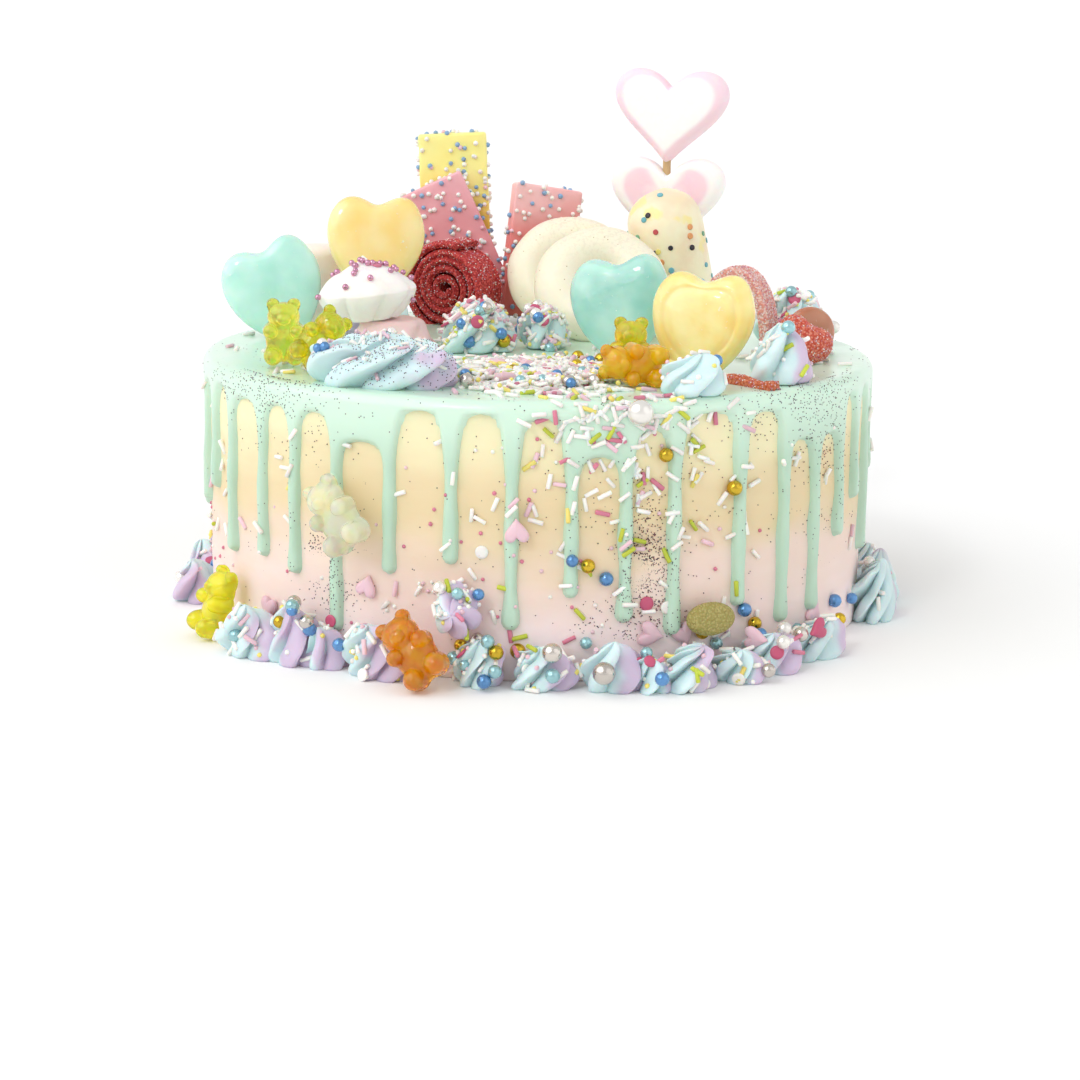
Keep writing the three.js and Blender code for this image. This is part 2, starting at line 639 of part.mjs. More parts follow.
// Round the back the rosettes stand in touching threes, between the ends of the first and last that show
const END_HALF_DEG = 6.5;
const seenEnd = SEEN_BORDER.at(-1).angle + END_HALF_DEG;
const seenStart = 360 + SEEN_BORDER[0].angle - END_HALF_DEG;
for (let group = 0; group < BACK_GROUPS; group++) {
  const middleAngle = seenEnd + ((seenStart - seenEnd) * (group + 0.5)) / BACK_GROUPS;
  const parts = [-1, 0, 1].map((step) => {
    const k = group * 3 + step;
    const angle = middleAngle + step * BACK_PITCH_DEG;
    const size = { reach: 111 + 3 * chance(k + 20), half: 11.9, h: 12 + 3 * chance(k + 30) };
    return borderRosette({ angle, ...size }, -4 + 8 * chance(k + 90));
  });
  border.add(named(`border_back_${group + 1}`, toGeometry(join(parts)), PAINTS.piped));
}

// A rosette piped on the side just above the border
const sideRosette = { angle: -11.6, z: 19.8, tilt: 72, r: CAKE_R + 4 };
const clinging = named("side_rosette", rosette({ rx: 7.2, ry: 7.8, h: 9, twist: 60 }), PAINTS.piped_lilac);
clinging.rotation.order = "ZXY";
clinging.rotation.set(rad(sideRosette.tilt), 0, rad(sideRosette.angle));
clinging.position.set(...onDrum(sideRosette.angle, sideRosette.r, sideRosette.z));
border.add(clinging);
cake.add(border);

// Rosettes on top
const TOP_ROSETTES = {
  rosette_front_left: { x: -42.8, y: -73, yaw: -24, rx: 24, ry: 12, h: 14, ridges: 8, phase: 20 },
  rosette_middle_left: { x: -18, y: -4, rx: 12.6, ry: 11, h: 14.5, ridges: 7, phase: 10 },
  rosette_middle_right: { x: 1.8, y: 3, rx: 7.6, ry: 8.2, h: 12, ridges: 6, phase: 40 },
  rosette_front_right: { x: 42, y: -83, rx: 10.2, ry: 8.8, h: 11, ridges: 6, phase: 0 },
  rosette_right: { x: 68, y: -58.2, rx: 10, ry: 9.6, h: 16, ridges: 6, phase: 25 },
  rosette_back_right: { x: 79, y: 22, rx: 11, ry: 11, h: 17, ridges: 7, phase: 15 },
  rosette_back_1: { x: 28, y: 83, rx: 11.5, ry: 11, h: 14, ridges: 7, phase: 5 },
  rosette_back_2: { x: -61, y: 62, rx: 11.5, ry: 11, h: 14, ridges: 7, phase: 35 },
  rosette_under_heart: { x: -51, y: 28, rx: 11, ry: 10, h: 14.6, ridges: 7, phase: 35, cut: 12.6 },
};

const rosettes = new THREE.Group();
for (const [name, { x, y, yaw, cut, ...size }] of Object.entries(TOP_ROSETTES)) {
  const form = cut ? cutAbove(rosette(size), cut) : rosette(size);
  rosettes.add(stand(named(name, form, PAINTS.piped), { x, y, yaw }));
}
cake.add(rosettes);

// Sweets
const sweets = new THREE.Group();

const CANDY_HEARTS = {
  heart_mint_left: { paint: "jelly_mint", x: -76.2, y: 19, yaw: 8, lean: 5, roll: -20, sunk: 0.4 },
  heart_yellow_left: { paint: "jelly_yellow", x: -51.5, y: 26, yaw: 10, lean: 8, roll: 3, z: SEAT + 13, sunk: 0.8 },
  heart_mint_right: { paint: "jelly_mint", x: 25.2, y: -17, yaw: -18, lean: 10, roll: -7, sunk: 0.4 },
  heart_yellow_right: { paint: "jelly_yellow", x: 47.4, y: -46, yaw: -22, lean: 9, roll: -5, sunk: 2.6 },
};
for (const [name, { paint: colour, ...place }] of Object.entries(CANDY_HEARTS)) {
  sweets.add(stand(named(name, heart({ ...CANDY_HEART, form: PLUMP }, 9, PUFFY), PAINTS[colour]), place));
}

const BEARS = {
  bear_left_standing: { paint: "gummy_green", x: -73, y: -42, yaw: 6 },
  bear_left_lying: { paint: "gummy_green", x: -67.4, y: -53.5, yaw: 10, lean: 8, roll: 40 },
  bear_right_standing: { paint: "gummy_green", x: 26, y: -54, yaw: -4, lean: 10, sunk: 2 },
  bear_right_lying: { paint: "gummy_orange", x: 34.5, y: -68.5, yaw: 20, roll: -84 },
};
for (const [name, { paint: colour, ...place }] of Object.entries(BEARS)) {
  sweets.add(stand(named(name, bear(), PAINTS[colour]), place));
}

// Bears that lean on the side: angle and distance from the axis, height of the foot, lean, roll and size
const SIDE_BEARS = {
  bear_side: { paint: "gummy_pale", angle: -26.8, r: 105.4, z: 33.4, lean: 0, roll: -38, scale: 1.12 },
  bear_base_yellow: { paint: "gummy_yellow", angle: -59.5, r: 107.5, z: 0.4, lean: 12, roll: 8, scale: 1.08 },
  bear_base_orange: { paint: "gummy_orange", angle: -13.3, r: 113, z: 1.2, lean: 14, roll: -42, scale: 1.12 },
};
for (const [name, { paint: colour, angle, r, z, lean, roll, scale }] of Object.entries(SIDE_BEARS)) {
  const [x, y] = onDrum(angle, r, 0);
  sweets.add(stand(named(name, bear(scale), PAINTS[colour]), { x, y, z, yaw: angle, lean, roll }));
}

// A white kiss on a pink one whose upper part is left out
const pinkKiss = cutAbove(kiss({ r: 15, h: 16, ridges: 7, groove: 0.96, profile: SPREAD }), 9.2);
sweets.add(stand(named("meringue_pink", pinkKiss, PAINTS.meringue_pink), { x: -44.7, y: -3 }));
const whiteKiss = kiss({ r: 15, h: 18.4, ridges: 8, groove: 0.86, profile: PEAKED });
sweets.add(
  stand(named("meringue_white", whiteKiss, PAINTS.meringue_white), {
    x: -51,
    y: -3,
    z: SEAT + 9.6,
    roll: -6,
    sunk: 1.4,
  }),
);

const SLABS = {
  slab_pink_left: { paint: "chocolate_pink", width: 22, height: 46.4, thickness: 4, beads: 4, seed: 700,
    x: -17, y: 76, yaw: 0, lean: 5, roll: -25, sunk: 4 },
  slab_yellow: { paint: "chocolate_yellow", width: 22.5, height: 60, thickness: 6, beads: 4, seed: 800,
    x: -26.4, y: 86.5, yaw: 0, lean: 0, roll: -3, sunk: 1 },
  slab_pink_right: { paint: "chocolate_pink", width: 24, height: 43.6, thickness: 4.5, beads: 4, seed: 900,
    x: -2, y: 72.6, yaw: 24, lean: 6, roll: 9, sunk: 2.5 },
};
for (const [name, slab] of Object.entries(SLABS)) {
  sweets.add(stand(named(name, chocolateSlab(slab), PAINTS[slab.paint]), slab));
}

sweets.add(
  stand(
    named("sour_roll", sourRoll({ outerR: 16, turns: 4.6, thickness: 2, width: 14 }), PAINTS.sour_red),
    { x: -27.2, y: 58.4, yaw: -33 },
  ),
);
sweets.add(
  stand(named("doughnut_rear", doughnut(), PAINTS.chocolate_white), { x: 10.5, y: 43, lean: 36, sunk: 1 }),
);
sweets.add(
  stand(named("doughnut_front", doughnut(), PAINTS.chocolate_white), { x: 19.2, y: 17.5, lean: 40, sunk: 1 }),
);
sweets.add(
  stand(named("confetti_stick", confettiStick(44.5), PAINTS.coating_confetti), {
    x: 47,
    y: 57,
    roll: -12,
    sunk: 1.5,
  }),
);
sweets.add(
  stand(named("sour_arch", sourArch({ halfW: 10, height: 27, thickness: 3, width: 12 }), PAINTS.sour_orange), {
    x: 60.4,
    y: -9,
    yaw: -26,
    roll: -4,
    sunk: 0.8,
  }),
);
const berry = heart({ width: 17.5, height: 14, form: PLUMP }, 12, PUFFY, 14);
sweets.add(
  stand(named("sugared_berry", berry, PAINTS.sour_orange), {
    x: 74.8,
    y: -24,
    yaw: 15,
    lean: 14,
    roll: 30,
    sunk: 1,
  }),
);
sweets.add(
  stand(named("cola_disc", disc(7.6, 5), PAINTS.cola), { x: 81.5, y: -9, yaw: 12, lean: 8, sunk: 0.6 }),
);
sweets.add(
  stand(named("sour_strip", new THREE.BoxGeometry(18, 4.6, 2.4), PAINTS.sour_orange), {
    x: 58.6,
    y: -67,
    yaw: -47,
  }),
);
sweets.add(
  stand(named("marshmallow_peach", plainMarshmallow(9.5, 26), PAINTS.marshmallow_peach), { x: -70.5, y: 43 }),
);

// A sugared jelly on the border, leaning on the side
const jelly = { angle: 27.4, r: 105, z: 12.8 };
const [jellyX, jellyY] = onDrum(jelly.angle, jelly.r, 0);
sweets.add(
  stand(named("jelly_olive", disc(7.2, 5.4), PAINTS.olive), {
    x: jellyX,
    y: jellyY,
    z: jelly.z,
    yaw: jelly.angle,
    lean: 8,
    sunk: 6,
  }),
);

// Two marshmallow hearts on a wooden skewer that goes down into the cake
const MARSHMALLOWS = {
  marshmallow_upper: { paint: "marshmallow_pink", z: TOP + 51.6, yaw: -16, lean: 6, roll: 2 },
  marshmallow_lower: { paint: "marshmallow_white", z: TOP + 23.4, yaw: -12, lean: 4, roll: 1 },
};
for (const [name, { paint: colour, ...place }] of Object.entries(MARSHMALLOWS)) {
  const form = heart({ ...MARSHMALLOW_HEART, form: NOTCHED }, 12, SLAB);
  const made = stand(named(name, form, PAINTS[colour]), { ...skewerSpot, ...place });
  made.updateMatrixWorld(true);
  made.geometry = toGeometry(toSolid(made.geometry, made.matrixWorld).subtract(skewerHole));
  made.rotation.set(0, 0, 0);
  made.position.set(0, 0, 0);
  sweets.add(made);
}
const skewer = named(
  "skewer",
  new THREE.CylinderGeometry(SKEWER_R, SKEWER_R, SKEWER_TOP - SKEWER_FOOT, 8).rotateX(Math.PI / 2),
  PAINTS.wood,
);
skewer.position.set(skewerSpot.x, skewerSpot.y, (SKEWER_TOP + SKEWER_FOOT) / 2);
sweets.add(skewer);
cake.add(sweets);

export default cake;
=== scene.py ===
import bpy
import numpy as np
from mathutils import Matrix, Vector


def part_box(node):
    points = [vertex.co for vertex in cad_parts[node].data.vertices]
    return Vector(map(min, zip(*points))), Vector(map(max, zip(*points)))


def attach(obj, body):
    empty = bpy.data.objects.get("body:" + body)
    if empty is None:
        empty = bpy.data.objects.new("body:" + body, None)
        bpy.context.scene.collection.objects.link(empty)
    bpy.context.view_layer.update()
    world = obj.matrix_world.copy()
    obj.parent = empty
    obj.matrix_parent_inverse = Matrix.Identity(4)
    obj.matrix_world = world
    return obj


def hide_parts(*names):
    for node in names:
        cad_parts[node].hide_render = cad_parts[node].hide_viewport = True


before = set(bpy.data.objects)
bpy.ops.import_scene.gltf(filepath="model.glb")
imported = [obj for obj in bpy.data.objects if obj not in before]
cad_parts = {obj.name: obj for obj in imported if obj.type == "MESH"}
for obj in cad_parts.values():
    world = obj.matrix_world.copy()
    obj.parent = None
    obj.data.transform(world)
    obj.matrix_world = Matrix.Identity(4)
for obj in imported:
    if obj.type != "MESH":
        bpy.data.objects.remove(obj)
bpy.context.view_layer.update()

# The cake is a drum of sponge under buttercream, smoothed with a scraper, which left faint level streaks.
# It is cream-coloured above and blends through pale yellow to pink at the foot. The glaze hides its top.
MM = 0.001
CAKE_R = 99 * MM
CAKE_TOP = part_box("cake")[1].z
CAKE_EDGE_R = 3 * MM
FOOT_Z = np.array([0, 0.3, 1]) * MM
FOOT_INSET = np.array([0.7, 0.2, 0]) * MM
STREAK_DEPTH = 0.16 * MM
STREAK_H = 9 * MM
BULGE_LENGTH = 60 * MM
COLOUR_DRIFT = 34 * MM
WAVES = 8


def linear(red, green, blue):
    """Colour as light from its screen values of 0 to 255: the inverse of the sRGB curve."""
    screen = np.array([red, green, blue]) / 255
    light = np.where(screen <= 0.04045, screen / 12.92, ((screen + 0.055) / 1.055) ** 2.4)
    return (*light, 1.0)


def ripple(points, length, seed):
    """Soft unevenness of about -1 to 1: a sum of plane waves of about one length, in seeded
    directions."""
    draw = np.random.default_rng(seed)
    ways = draw.normal(size=(WAVES, 3))
    norms = np.linalg.norm(ways, axis=1, keepdims=True)
    ways *= 2 * np.pi / length * draw.uniform(0.6, 1.4, (WAVES, 1)) / norms
    return np.sin(points @ ways.T + draw.uniform(0, 2 * np.pi, WAVES)).sum(-1) / (0.4 * WAVES)


def wrapped(rings):
    """Points and triangles of a closed skin: rings of as many points, each joined to the next. The first
    and the last are closed by a fan to their middle."""
    rows, columns = rings.shape[:2]
    index = np.arange(rows * columns).reshape(rows, columns)
    low, high = index[:-1], index[1:]
    low_next, high_next = np.roll(low, -1, 1), np.roll(high, -1, 1)
    first, last = index[0], index[-1]
    faces = np.concatenate([
        np.stack([low, low_next, high_next], -1).reshape(-1, 3),
        np.stack([low, high_next, high], -1).reshape(-1, 3),
        np.stack([np.roll(first, -1), first, np.full(columns, index.size)], -1),
        np.stack([last, np.roll(last, -1), np.full(columns, index.size + 1)], -1),
    ])
    middles = np.stack([rings[0].mean(0), rings[-1].mean(0)])
    return np.concatenate([rings.reshape(-1, 3), middles]), faces


def outward(points, faces):
    """The triangles turned so that they enclose a positive volume."""
    a, b, c = points[faces].transpose(1, 0, 2)
    return faces if np.einsum("ij,ij->", a, np.cross(b, c)) > 0 else faces[:, ::-1]


def make_piece(name, points, faces, paint, slot, replaces=(), tint=None):
    """One smooth mesh that rides with the cake. A tint is a colour for each point, kept as an
    attribute."""
    mesh = bpy.data.meshes.new(name)
    mesh.vertices.add(len(points))
    mesh.vertices.foreach_set("co", np.ascontiguousarray(points, np.float32).ravel())
    mesh.loops.add(faces.size)
    mesh.loops.foreach_set("vertex_index", np.ascontiguousarray(faces, np.int32).ravel())
    mesh.polygons.add(len(faces))
    mesh.polygons.foreach_set("loop_start", np.arange(0, faces.size, 3, dtype=np.int32))
    mesh.polygons.foreach_set("use_smooth", np.ones(len(faces), bool))
    mesh.update(calc_edges=True)
    if tint is not None:
        colours = mesh.color_attributes.new("tint", "FLOAT_COLOR", "POINT")
        colours.data.foreach_set("color", np.ascontiguousarray(tint, np.float32).ravel())
    mesh.materials.append(paint.material)
    made = bpy.data.objects.new(name, mesh)
    bpy.context.scene.collection.objects.link(made)
    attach(made, "root")
    if replaces:
        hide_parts(*replaces)
    return made


class Value:
    """A value in a material: arithmetic on it adds Math nodes."""

    def __init__(self, paint, socket):
        self.paint = paint
        self.socket = socket

    def math(self, operation, first, second):
        """The outcome of a Math node."""
        return self.paint.node("ShaderNodeMath", {"operation": operation}, {0: first, 1: second})

    def __add__(self, other):
        return self.math("ADD", self, other)

    def __sub__(self, other):
        return self.math("SUBTRACT", self, other)

    def __mul__(self, other):
        return self.math("MULTIPLY", self, other)

    def rise(self, low, high):
        """0 below low, 1 above high, and a smooth step between them."""
        settings = {"interpolation_type": "SMOOTHSTEP"}
        return self.paint.node("ShaderNodeMapRange", settings, {0: self, 1: low, 2: high, 3: 0.0, 4: 1.0})


class Paint:
    """A material round one Principled shader. The sockets named at the start are the same all over."""

    def __init__(self, name, **fixed):
        self.material = bpy.data.materials.new(name)
        self.material.use_nodes = True
        self.tree = self.material.node_tree
        self.shader = self.tree.nodes["Principled BSDF"]
        for key, value in fixed.items():
            self.shader.inputs[key.replace("_", " ")].default_value = value

    def node(self, kind, settings, inputs, output=0):
        """A new node with its settings, its inputs as values or links, and the output that is used."""
        made = self.tree.nodes.new(kind)
        for key, value in settings.items():
            setattr(made, key, value)
        for key, value in inputs.items():
            if isinstance(value, Value):
                self.tree.links.new(value.socket, made.inputs[key])
            else:
                made.inputs[key].default_value = value
        return Value(self, made.outputs[output])

    def place(self, stretch=(1, 1, 1)):
        """Object coordinates in metres, stretched along each axis."""
        spot = self.node("ShaderNodeTexCoord", {}, {}, "Object")
        return self.node("ShaderNodeMapping", {}, {"Vector": spot, "Scale": stretch})

    def height(self):
        """Height above the cake's foot in metres."""
        spot = self.node("ShaderNodeTexCoord", {}, {}, "Object")
        return self.node("ShaderNodeSeparateXYZ", {}, {0: spot}, "Z")

    def noise(self, size, detail=2.0, stretch=(1, 1, 1)):
        """Cloudy noise of 0 to 1 with features of about that size in metres."""
        inputs = {"Vector": self.place(stretch), "Scale": 1 / size, "Detail": detail}
        return self.node("ShaderNodeTexNoise", {}, inputs, "Fac")

    def cells(self, size):
        """Distance to the nearest of scattered points about that size in metres apart, in that unit."""
        inputs = {"Vector": self.place(), "Scale": 1 / size}
        return self.node("ShaderNodeTexVoronoi", {}, inputs, "Distance")

    def tint(self):
        """The colour that each point of the mesh carries."""
        return self.node("ShaderNodeAttribute", {"attribute_name": "tint"}, {}, "Color")

    def mix(self, share, first, second):
        """The first colour where the share is 0 and the second where it is 1, each a value or screen
        values."""
        first, second = (c if isinstance(c, Value) else linear(*c) for c in (first, second))
        return self.node("ShaderNodeMix", {"data_type": "RGBA"}, {0: share, 6: first, 7: second}, 2)

    def feed(self, key, value):
        """Links a value to a socket of the shader."""
        self.tree.links.new(value.socket, self.shader.inputs[key])
        return self

    def bump(self, height, depth):
        """Raises the surface by a height of 0 to 1 times a depth in metres."""
        inputs = {"Strength": 1.0, "Distance": depth, "Height": height}
        return self.feed("Normal", self.node("ShaderNodeBump", {}, inputs, "Normal"))


def turns(count):
    """Evenly spread angles of a full turn."""
    return np.linspace(0, 2 * np.pi, count, endpoint=False)


def grid(x, y, z):
    """Points from coordinates that broadcast to one shape."""
    return np.stack(np.broadcast_arrays(x, y, z), -1)


def round_axis(angle, radius, z):
    """Points at an angle from the front, which grows to the right, a distance from the axis and a
    height."""
    return grid(radius * np.sin(angle), -radius * np.cos(angle), z)


edge = np.linspace(0, np.pi / 2, 6)
wall = np.linspace(2 * MM, CAKE_TOP - CAKE_EDGE_R - MM, 90)
drum_z = np.concatenate([FOOT_Z, wall, CAKE_TOP - CAKE_EDGE_R * (1 - np.sin(edge))])
drum_r = np.concatenate([
    CAKE_R - FOOT_INSET,
    np.full(len(wall), CAKE_R),
    CAKE_R - CAKE_EDGE_R * (1 - np.cos(edge)),
])
drum = round_axis(turns(420)[None], drum_r[:, None], drum_z[:, None])
streaks = ripple(drum * (0.12, 0.12, 1), STREAK_H, 1) + 0.8 * ripple(drum, BULGE_LENGTH, 2)
drum[..., :2] *= 1 - (STREAK_DEPTH * (1.2 + streaks))[..., None] / CAKE_R

cream = (244, 234, 192)
butter = (231, 210, 168)
peach = (240, 216, 203)
rose = (251, 230, 230)
buttercream = Paint("buttercream", Roughness=0.55, Subsurface_Weight=0.25, Subsurface_Scale=0.004)
clouds = buttercream.noise(30 * MM, 3, (0.5, 0.5, 1.6)) - 0.5
blend = buttercream.height() + clouds * COLOUR_DRIFT
side_colour = rose
for low, high, colour in [(8, 28, peach), (26, 44, butter), (46, 68, cream)]:
    side_colour = buttercream.mix(blend.rise(low * MM, high * MM), side_colour, colour)
buttercream.feed("Base Color", side_colour)
buttercream.bump(buttercream.noise(5 * MM, 4, (0.15, 0.15, 1)), 0.25 * MM)
make_piece("cake_buttercream", *wrapped(drum), buttercream, "buttercream", ["cake"])

# The glaze is mint-coloured white chocolate poured over the top, which ran down the side and set in drips
# with round ends. Where two drips part at the rim it leaves an arch. It is glossy and a little uneven.
GLAZE_TOP = 77 * MM
RIM_R = 3.4 * MM
RIM_OUT = 1.7 * MM
DRIP_HALF_W = 1.75 * MM
DRIP_END_SWELL = 0.45 * MM
DRIP_END_THICKER = 0.5 * MM
DRIP_END_UP = 3 * MM
DRIP_END_LENGTH = 5 * MM
DRIP_FLARE = 3.4 * MM
FLARE_LENGTH = 6.5 * MM
DRIP_ROUND = 1.7 * MM
FILLET = 2.2 * MM
BELOW_SKIN = 1.2 * MM
GLAZE_WAVE = 0.12 * MM
SEEN_DRIPS = [
    (-79, 33, 70), (-70, 40, 71), (-61, 24, 69), (-50.5, 26, 70), (-42.3, 23.4, 69.7), (-33.4, 9.7, 62.8),
    (-23.6, 27.8, 73), (-13.4, 31.9, 73), (-3.8, 14.4, 72), (5.5, 23.5, 61.6), (14.1, 16.4, 69),
    (22.2, 11.8, 72), (34.2, 18, 71.2), (43.8, 11, 61.9), (52, 12, 61.6), (60.3, 31, 72), (67.7, 40, 72),
    (75.5, 22, 70),
]
DRIP_PITCH_DEG = 9.25


def chance(k):
    """A repeatable value from 0 to 1 for a whole number: the part past the point of a large sine."""
    return np.modf(np.sin(k * 12.9898 + 4.1) * 43758.5453)[0] % 1


def all_drips():
    """Angle, end height and height of the arch on the right of every drip: those that show, and evenly
    spread ones at the back."""
    seen = np.array(SEEN_DRIPS, float)
    first, last = seen[0, 0] + 360, seen[-1, 0]
    hidden = int(round((first - last) / DRIP_PITCH_DEG)) - 1
    k = np.arange(1, hidden + 1)
    angle = last + (first - last) * k / (hidden + 1) + (chance(k) - 0.5) * 2.4
    end, arch = 16 + 28 * chance(k + 60), 72 - 8 * chance(k + 120) ** 2
    drips = np.concatenate([seen, np.stack([angle, end, arch], 1)])
    return np.radians(drips[:, 0]), drips[:, 1] * MM, drips[:, 2] * MM


drip_angle, drip_end, drip_arch = all_drips()


def glaze_depth(angle, z):
    """How far the glaze stands out from the cake's side, less than nothing where there is none. A drip is
    the space round an upright line that widens towards the rim, and the web is all above the arches. They
    blend where they meet, by a logarithm of summed powers. The skin falls away in a quarter circle at
    their edges."""
    across = (angle[..., None] - drip_angle + np.pi) % (2 * np.pi) - np.pi
    x = across * CAKE_R
    level = z[..., None]
    swell = np.exp(-(((level - drip_end - DRIP_END_UP) / DRIP_END_LENGTH) ** 2))
    waver = 1 + 0.12 * np.sin(level * 260 + drip_angle * 40)
    flare = DRIP_FLARE * np.exp((level - GLAZE_TOP) / FLARE_LENGTH)
    half = DRIP_HALF_W * waver + DRIP_END_SWELL * swell + flare
    below = np.minimum(level - drip_end - half, 0)
    inside = half - np.hypot(x, below)
    drip_on_left = np.argmin(across % (2 * np.pi), -1)
    web = z - drip_arch[drip_on_left] - 0.4 * FILLET
    everything = np.concatenate([inside, web[..., None]], -1) / FILLET
    depth_in = FILLET * np.log(np.exp(np.clip(everything, -30, 30)).sum(-1))
    share = np.clip(depth_in / DRIP_ROUND, 0, 1)
    thick = RIM_OUT + DRIP_END_THICKER * swell.max(-1)
    skin = thick * np.sqrt(1 - (1 - share) ** 2)
    return np.where(depth_in > 0, skin, np.maximum(depth_in * 2, -BELOW_SKIN))


def drip_columns():
    """Angles of the glaze's columns: close together at each drip's edges and wider apart between the
    drips."""
    half = DRIP_HALF_W / CAKE_R
    near = np.array([0.15, 0.45, 0.7, 0.88, 0.98, 1.08, 1.25, 1.5, 1.9])
    last = near[-1] * half
    close = drip_angle[:, None] + np.concatenate([-near[::-1], near]) * half
    start = drip_angle + last
    gap = (np.roll(drip_angle, -1) - last - start) % (2 * np.pi)
    between = start[:, None] + gap[:, None] * (np.arange(1, 6) / 6)
    return np.sort(np.concatenate([close, between], 1).ravel() % (2 * np.pi))


columns = drip_columns()
side_z = np.linspace(8 * MM, GLAZE_TOP - RIM_R - 0.4 * MM, 86)
side_angle, side_level = np.meshgrid(columns, side_z)
side = round_axis(side_angle, CAKE_R + glaze_depth(side_angle, side_level), side_level)
bend = np.linspace(0, np.pi / 2, 8)[:, None]
rim_r = CAKE_R + RIM_OUT - RIM_R * (1 - np.cos(bend))
rim = round_axis(columns[None], rim_r, GLAZE_TOP - RIM_R * (1 - np.sin(bend)))
flat_r = np.array([0.93, 0.88, 0.8, 0.7, 0.6, 0.5, 0.4, 0.3, 0.2, 0.1])[:, None] * CAKE_R
flat = round_axis(columns[None], flat_r, GLAZE_TOP)
glaze_skin = np.concatenate([side, rim, flat])
on_the_flat = glaze_skin[..., 2] > GLAZE_TOP - MM
glaze_skin[..., 2] += GLAZE_WAVE * ripple(glaze_skin * (1, 1, 0), 24 * MM, 5) * on_the_flat

rim_mint = (210, 238, 218)
drip_mint = (178, 211, 187)
drip_mint_pale = (196, 224, 203)
glaze = Paint("mint_glaze", Roughness=0.28, Subsurface_Weight=0.15, Subsurface_Scale=0.002,
              Coat_Weight=0.25, Coat_Roughness=0.15)
drip_colour = glaze.mix(glaze.noise(14 * MM, 3), drip_mint, drip_mint_pale)
glaze.feed("Base Color", glaze.mix(glaze.height().rise(56 * MM, 74 * MM), drip_colour, rim_mint))
glaze.bump(glaze.noise(9 * MM, 3), 0.35 * MM)
make_piece("mint_drip_glaze", *wrapped(glaze_skin), glaze, "glaze", ["drip_glaze"])

# The piped border is buttercream in two colours side by side in one bag, pressed out through a star
# nozzle in separate swirls round the foot. Each has deep twisted ridges, is turquoise on one side and
# lilac on the other, and leans outwards. A row has its node's number, its angle, its foot's reach, half
# its length and its height.
SEEN_BORDER = [
    (1, -85, 110.5, 10.5, 13), (2, -47, 116, 9.5, 15), (2, -39.4, 112, 9, 17),
    (2, -33.6, 109.5, 6, 12), (3, -23.6, 111.5, 11, 16), (4, -8.2, 109.5, 7.8, 13.5),
    (5, 1.6, 111, 10, 12), (6, 11.6, 114, 8.6, 14.5), (6, 16.8, 115.5, 6.4, 9.5),
    (6, 22, 119, 9, 12.5), (7, 30.7, 117, 7.4, 9.5), (7, 37.8, 114, 9.4, 12),
    (8, 49.6, 111.5, 12, 12), (9, 79, 111, 13, 19),
]
BORDER_STYLE = {"groove": 0.6, "fold": 1.2, "dome": 1.8, "lean": 0.55}
BORDER_LEAST_DEPTH = 7.5
BACK_GROUPS = 5
BACK_PITCH_DEG = 11.5
BACK_REACH = 111
BACK_HALF = 11.9
BACK_H = 12
END_HALF_DEG = 6.5
turquoise = np.array(linear(214, 239, 241))
lilac = np.array(linear(212, 194, 219))
icing_skins = {}


def swirl(rx, ry, h, ridges, twist, phase, groove, seed, fold=1.0, dome=2.0, lean=0.24, lean_way=None):
    """A piped star on the plane z = 0. Each ring is an oval whose reach dips between the ridges, as a
    power of a half sine. The rings turn with height and draw in to a small peak, the later the larger the
    dome. Each ridge's crest is carried sideways, so that it folds over the groove beside it, and no two
    ridges are the same size. The peak leans over by a share of the half width, one way."""
    level = np.linspace(0, 1, 46)[:, None] ** 0.9
    angle = turns(ridges * 20)[None]
    along = angle - np.radians(phase + twist * level)
    lobe = np.abs(np.sin(ridges * along / 2)) ** 0.8
    uneven = 1 + 0.22 * np.sin(2 * along + 2.3 * seed) + 0.14 * np.sin(3 * along - 1.1 * seed)
    depth = groove * (0.72 + 0.28 * np.sin(np.pi * np.minimum(level * 1.3, 1)))
    body = np.maximum(1 - level**dome, 0) ** 0.75
    peak = 0.3 * (1 - level) ** 0.6
    reach = (1 - depth + depth * lobe * uneven) * (body**4 + peak**4) ** 0.25
    tuck = 1 - 0.14 * np.exp(-level * 14) + 0.05 * np.sin(5 * level + seed)
    turn = angle + fold * 2 / ridges * (lobe**2 - 0.4) * np.minimum(level * 4 + 0.3, 1)
    toward = seed * 2.4 if lean_way is None else lean_way
    x = rx * (reach * tuck * np.cos(turn) + lean * level**2 * np.cos(toward))
    y = ry * (reach * tuck * np.sin(turn) + lean * level**2 * np.sin(toward))
    z = h * level + 0.14 * h * lobe * uneven * np.sin(np.pi * level)
    star = grid(x, y, z)
    return star * (1 + 0.05 * ripple(star, 8 * MM, seed + 70)[..., None])


def two_tone(rings, facing, share):
    """Colour of each point of a swirl: one side turquoise and the other lilac, with a narrow blend
    between, and both darkened in the grooves as painted shade."""
    centre = rings.mean((0, 1))
    away = (rings - centre)[..., :2] @ np.array([np.cos(facing), np.sin(facing)])
    size = np.abs(away).max()
    mixed = 1 / (1 + np.exp(-(away / size + share + 0.14 * ripple(rings, 8 * MM, 9)) * 16))
    tint = turquoise + (lilac - turquoise) * mixed[..., None]
    ring_middle = rings.mean(1, keepdims=True)
    reach = np.linalg.norm(rings - ring_middle, axis=-1)
    groove_shade = 1 - reach / np.maximum(reach.max(1, keepdims=True), 1e-9)
    # Painted shade: points that lie deep in a groove are darkened by up to 12 per cent.
    tint[..., :3] *= (1 - 0.2 * np.clip(groove_shade, 0, 0.6))[..., None]
    ends = np.stack([tint[0].mean(0), tint[-1].mean(0)])
    return np.concatenate([tint.reshape(-1, 4), ends])


def turned(points, yaw):
    """Points turned about the upright axis by an angle in radians."""
    c, s = np.cos(yaw), np.sin(yaw)
    return points @ np.array([[c, s, 0], [-s, c, 0], [0, 0, 1]])


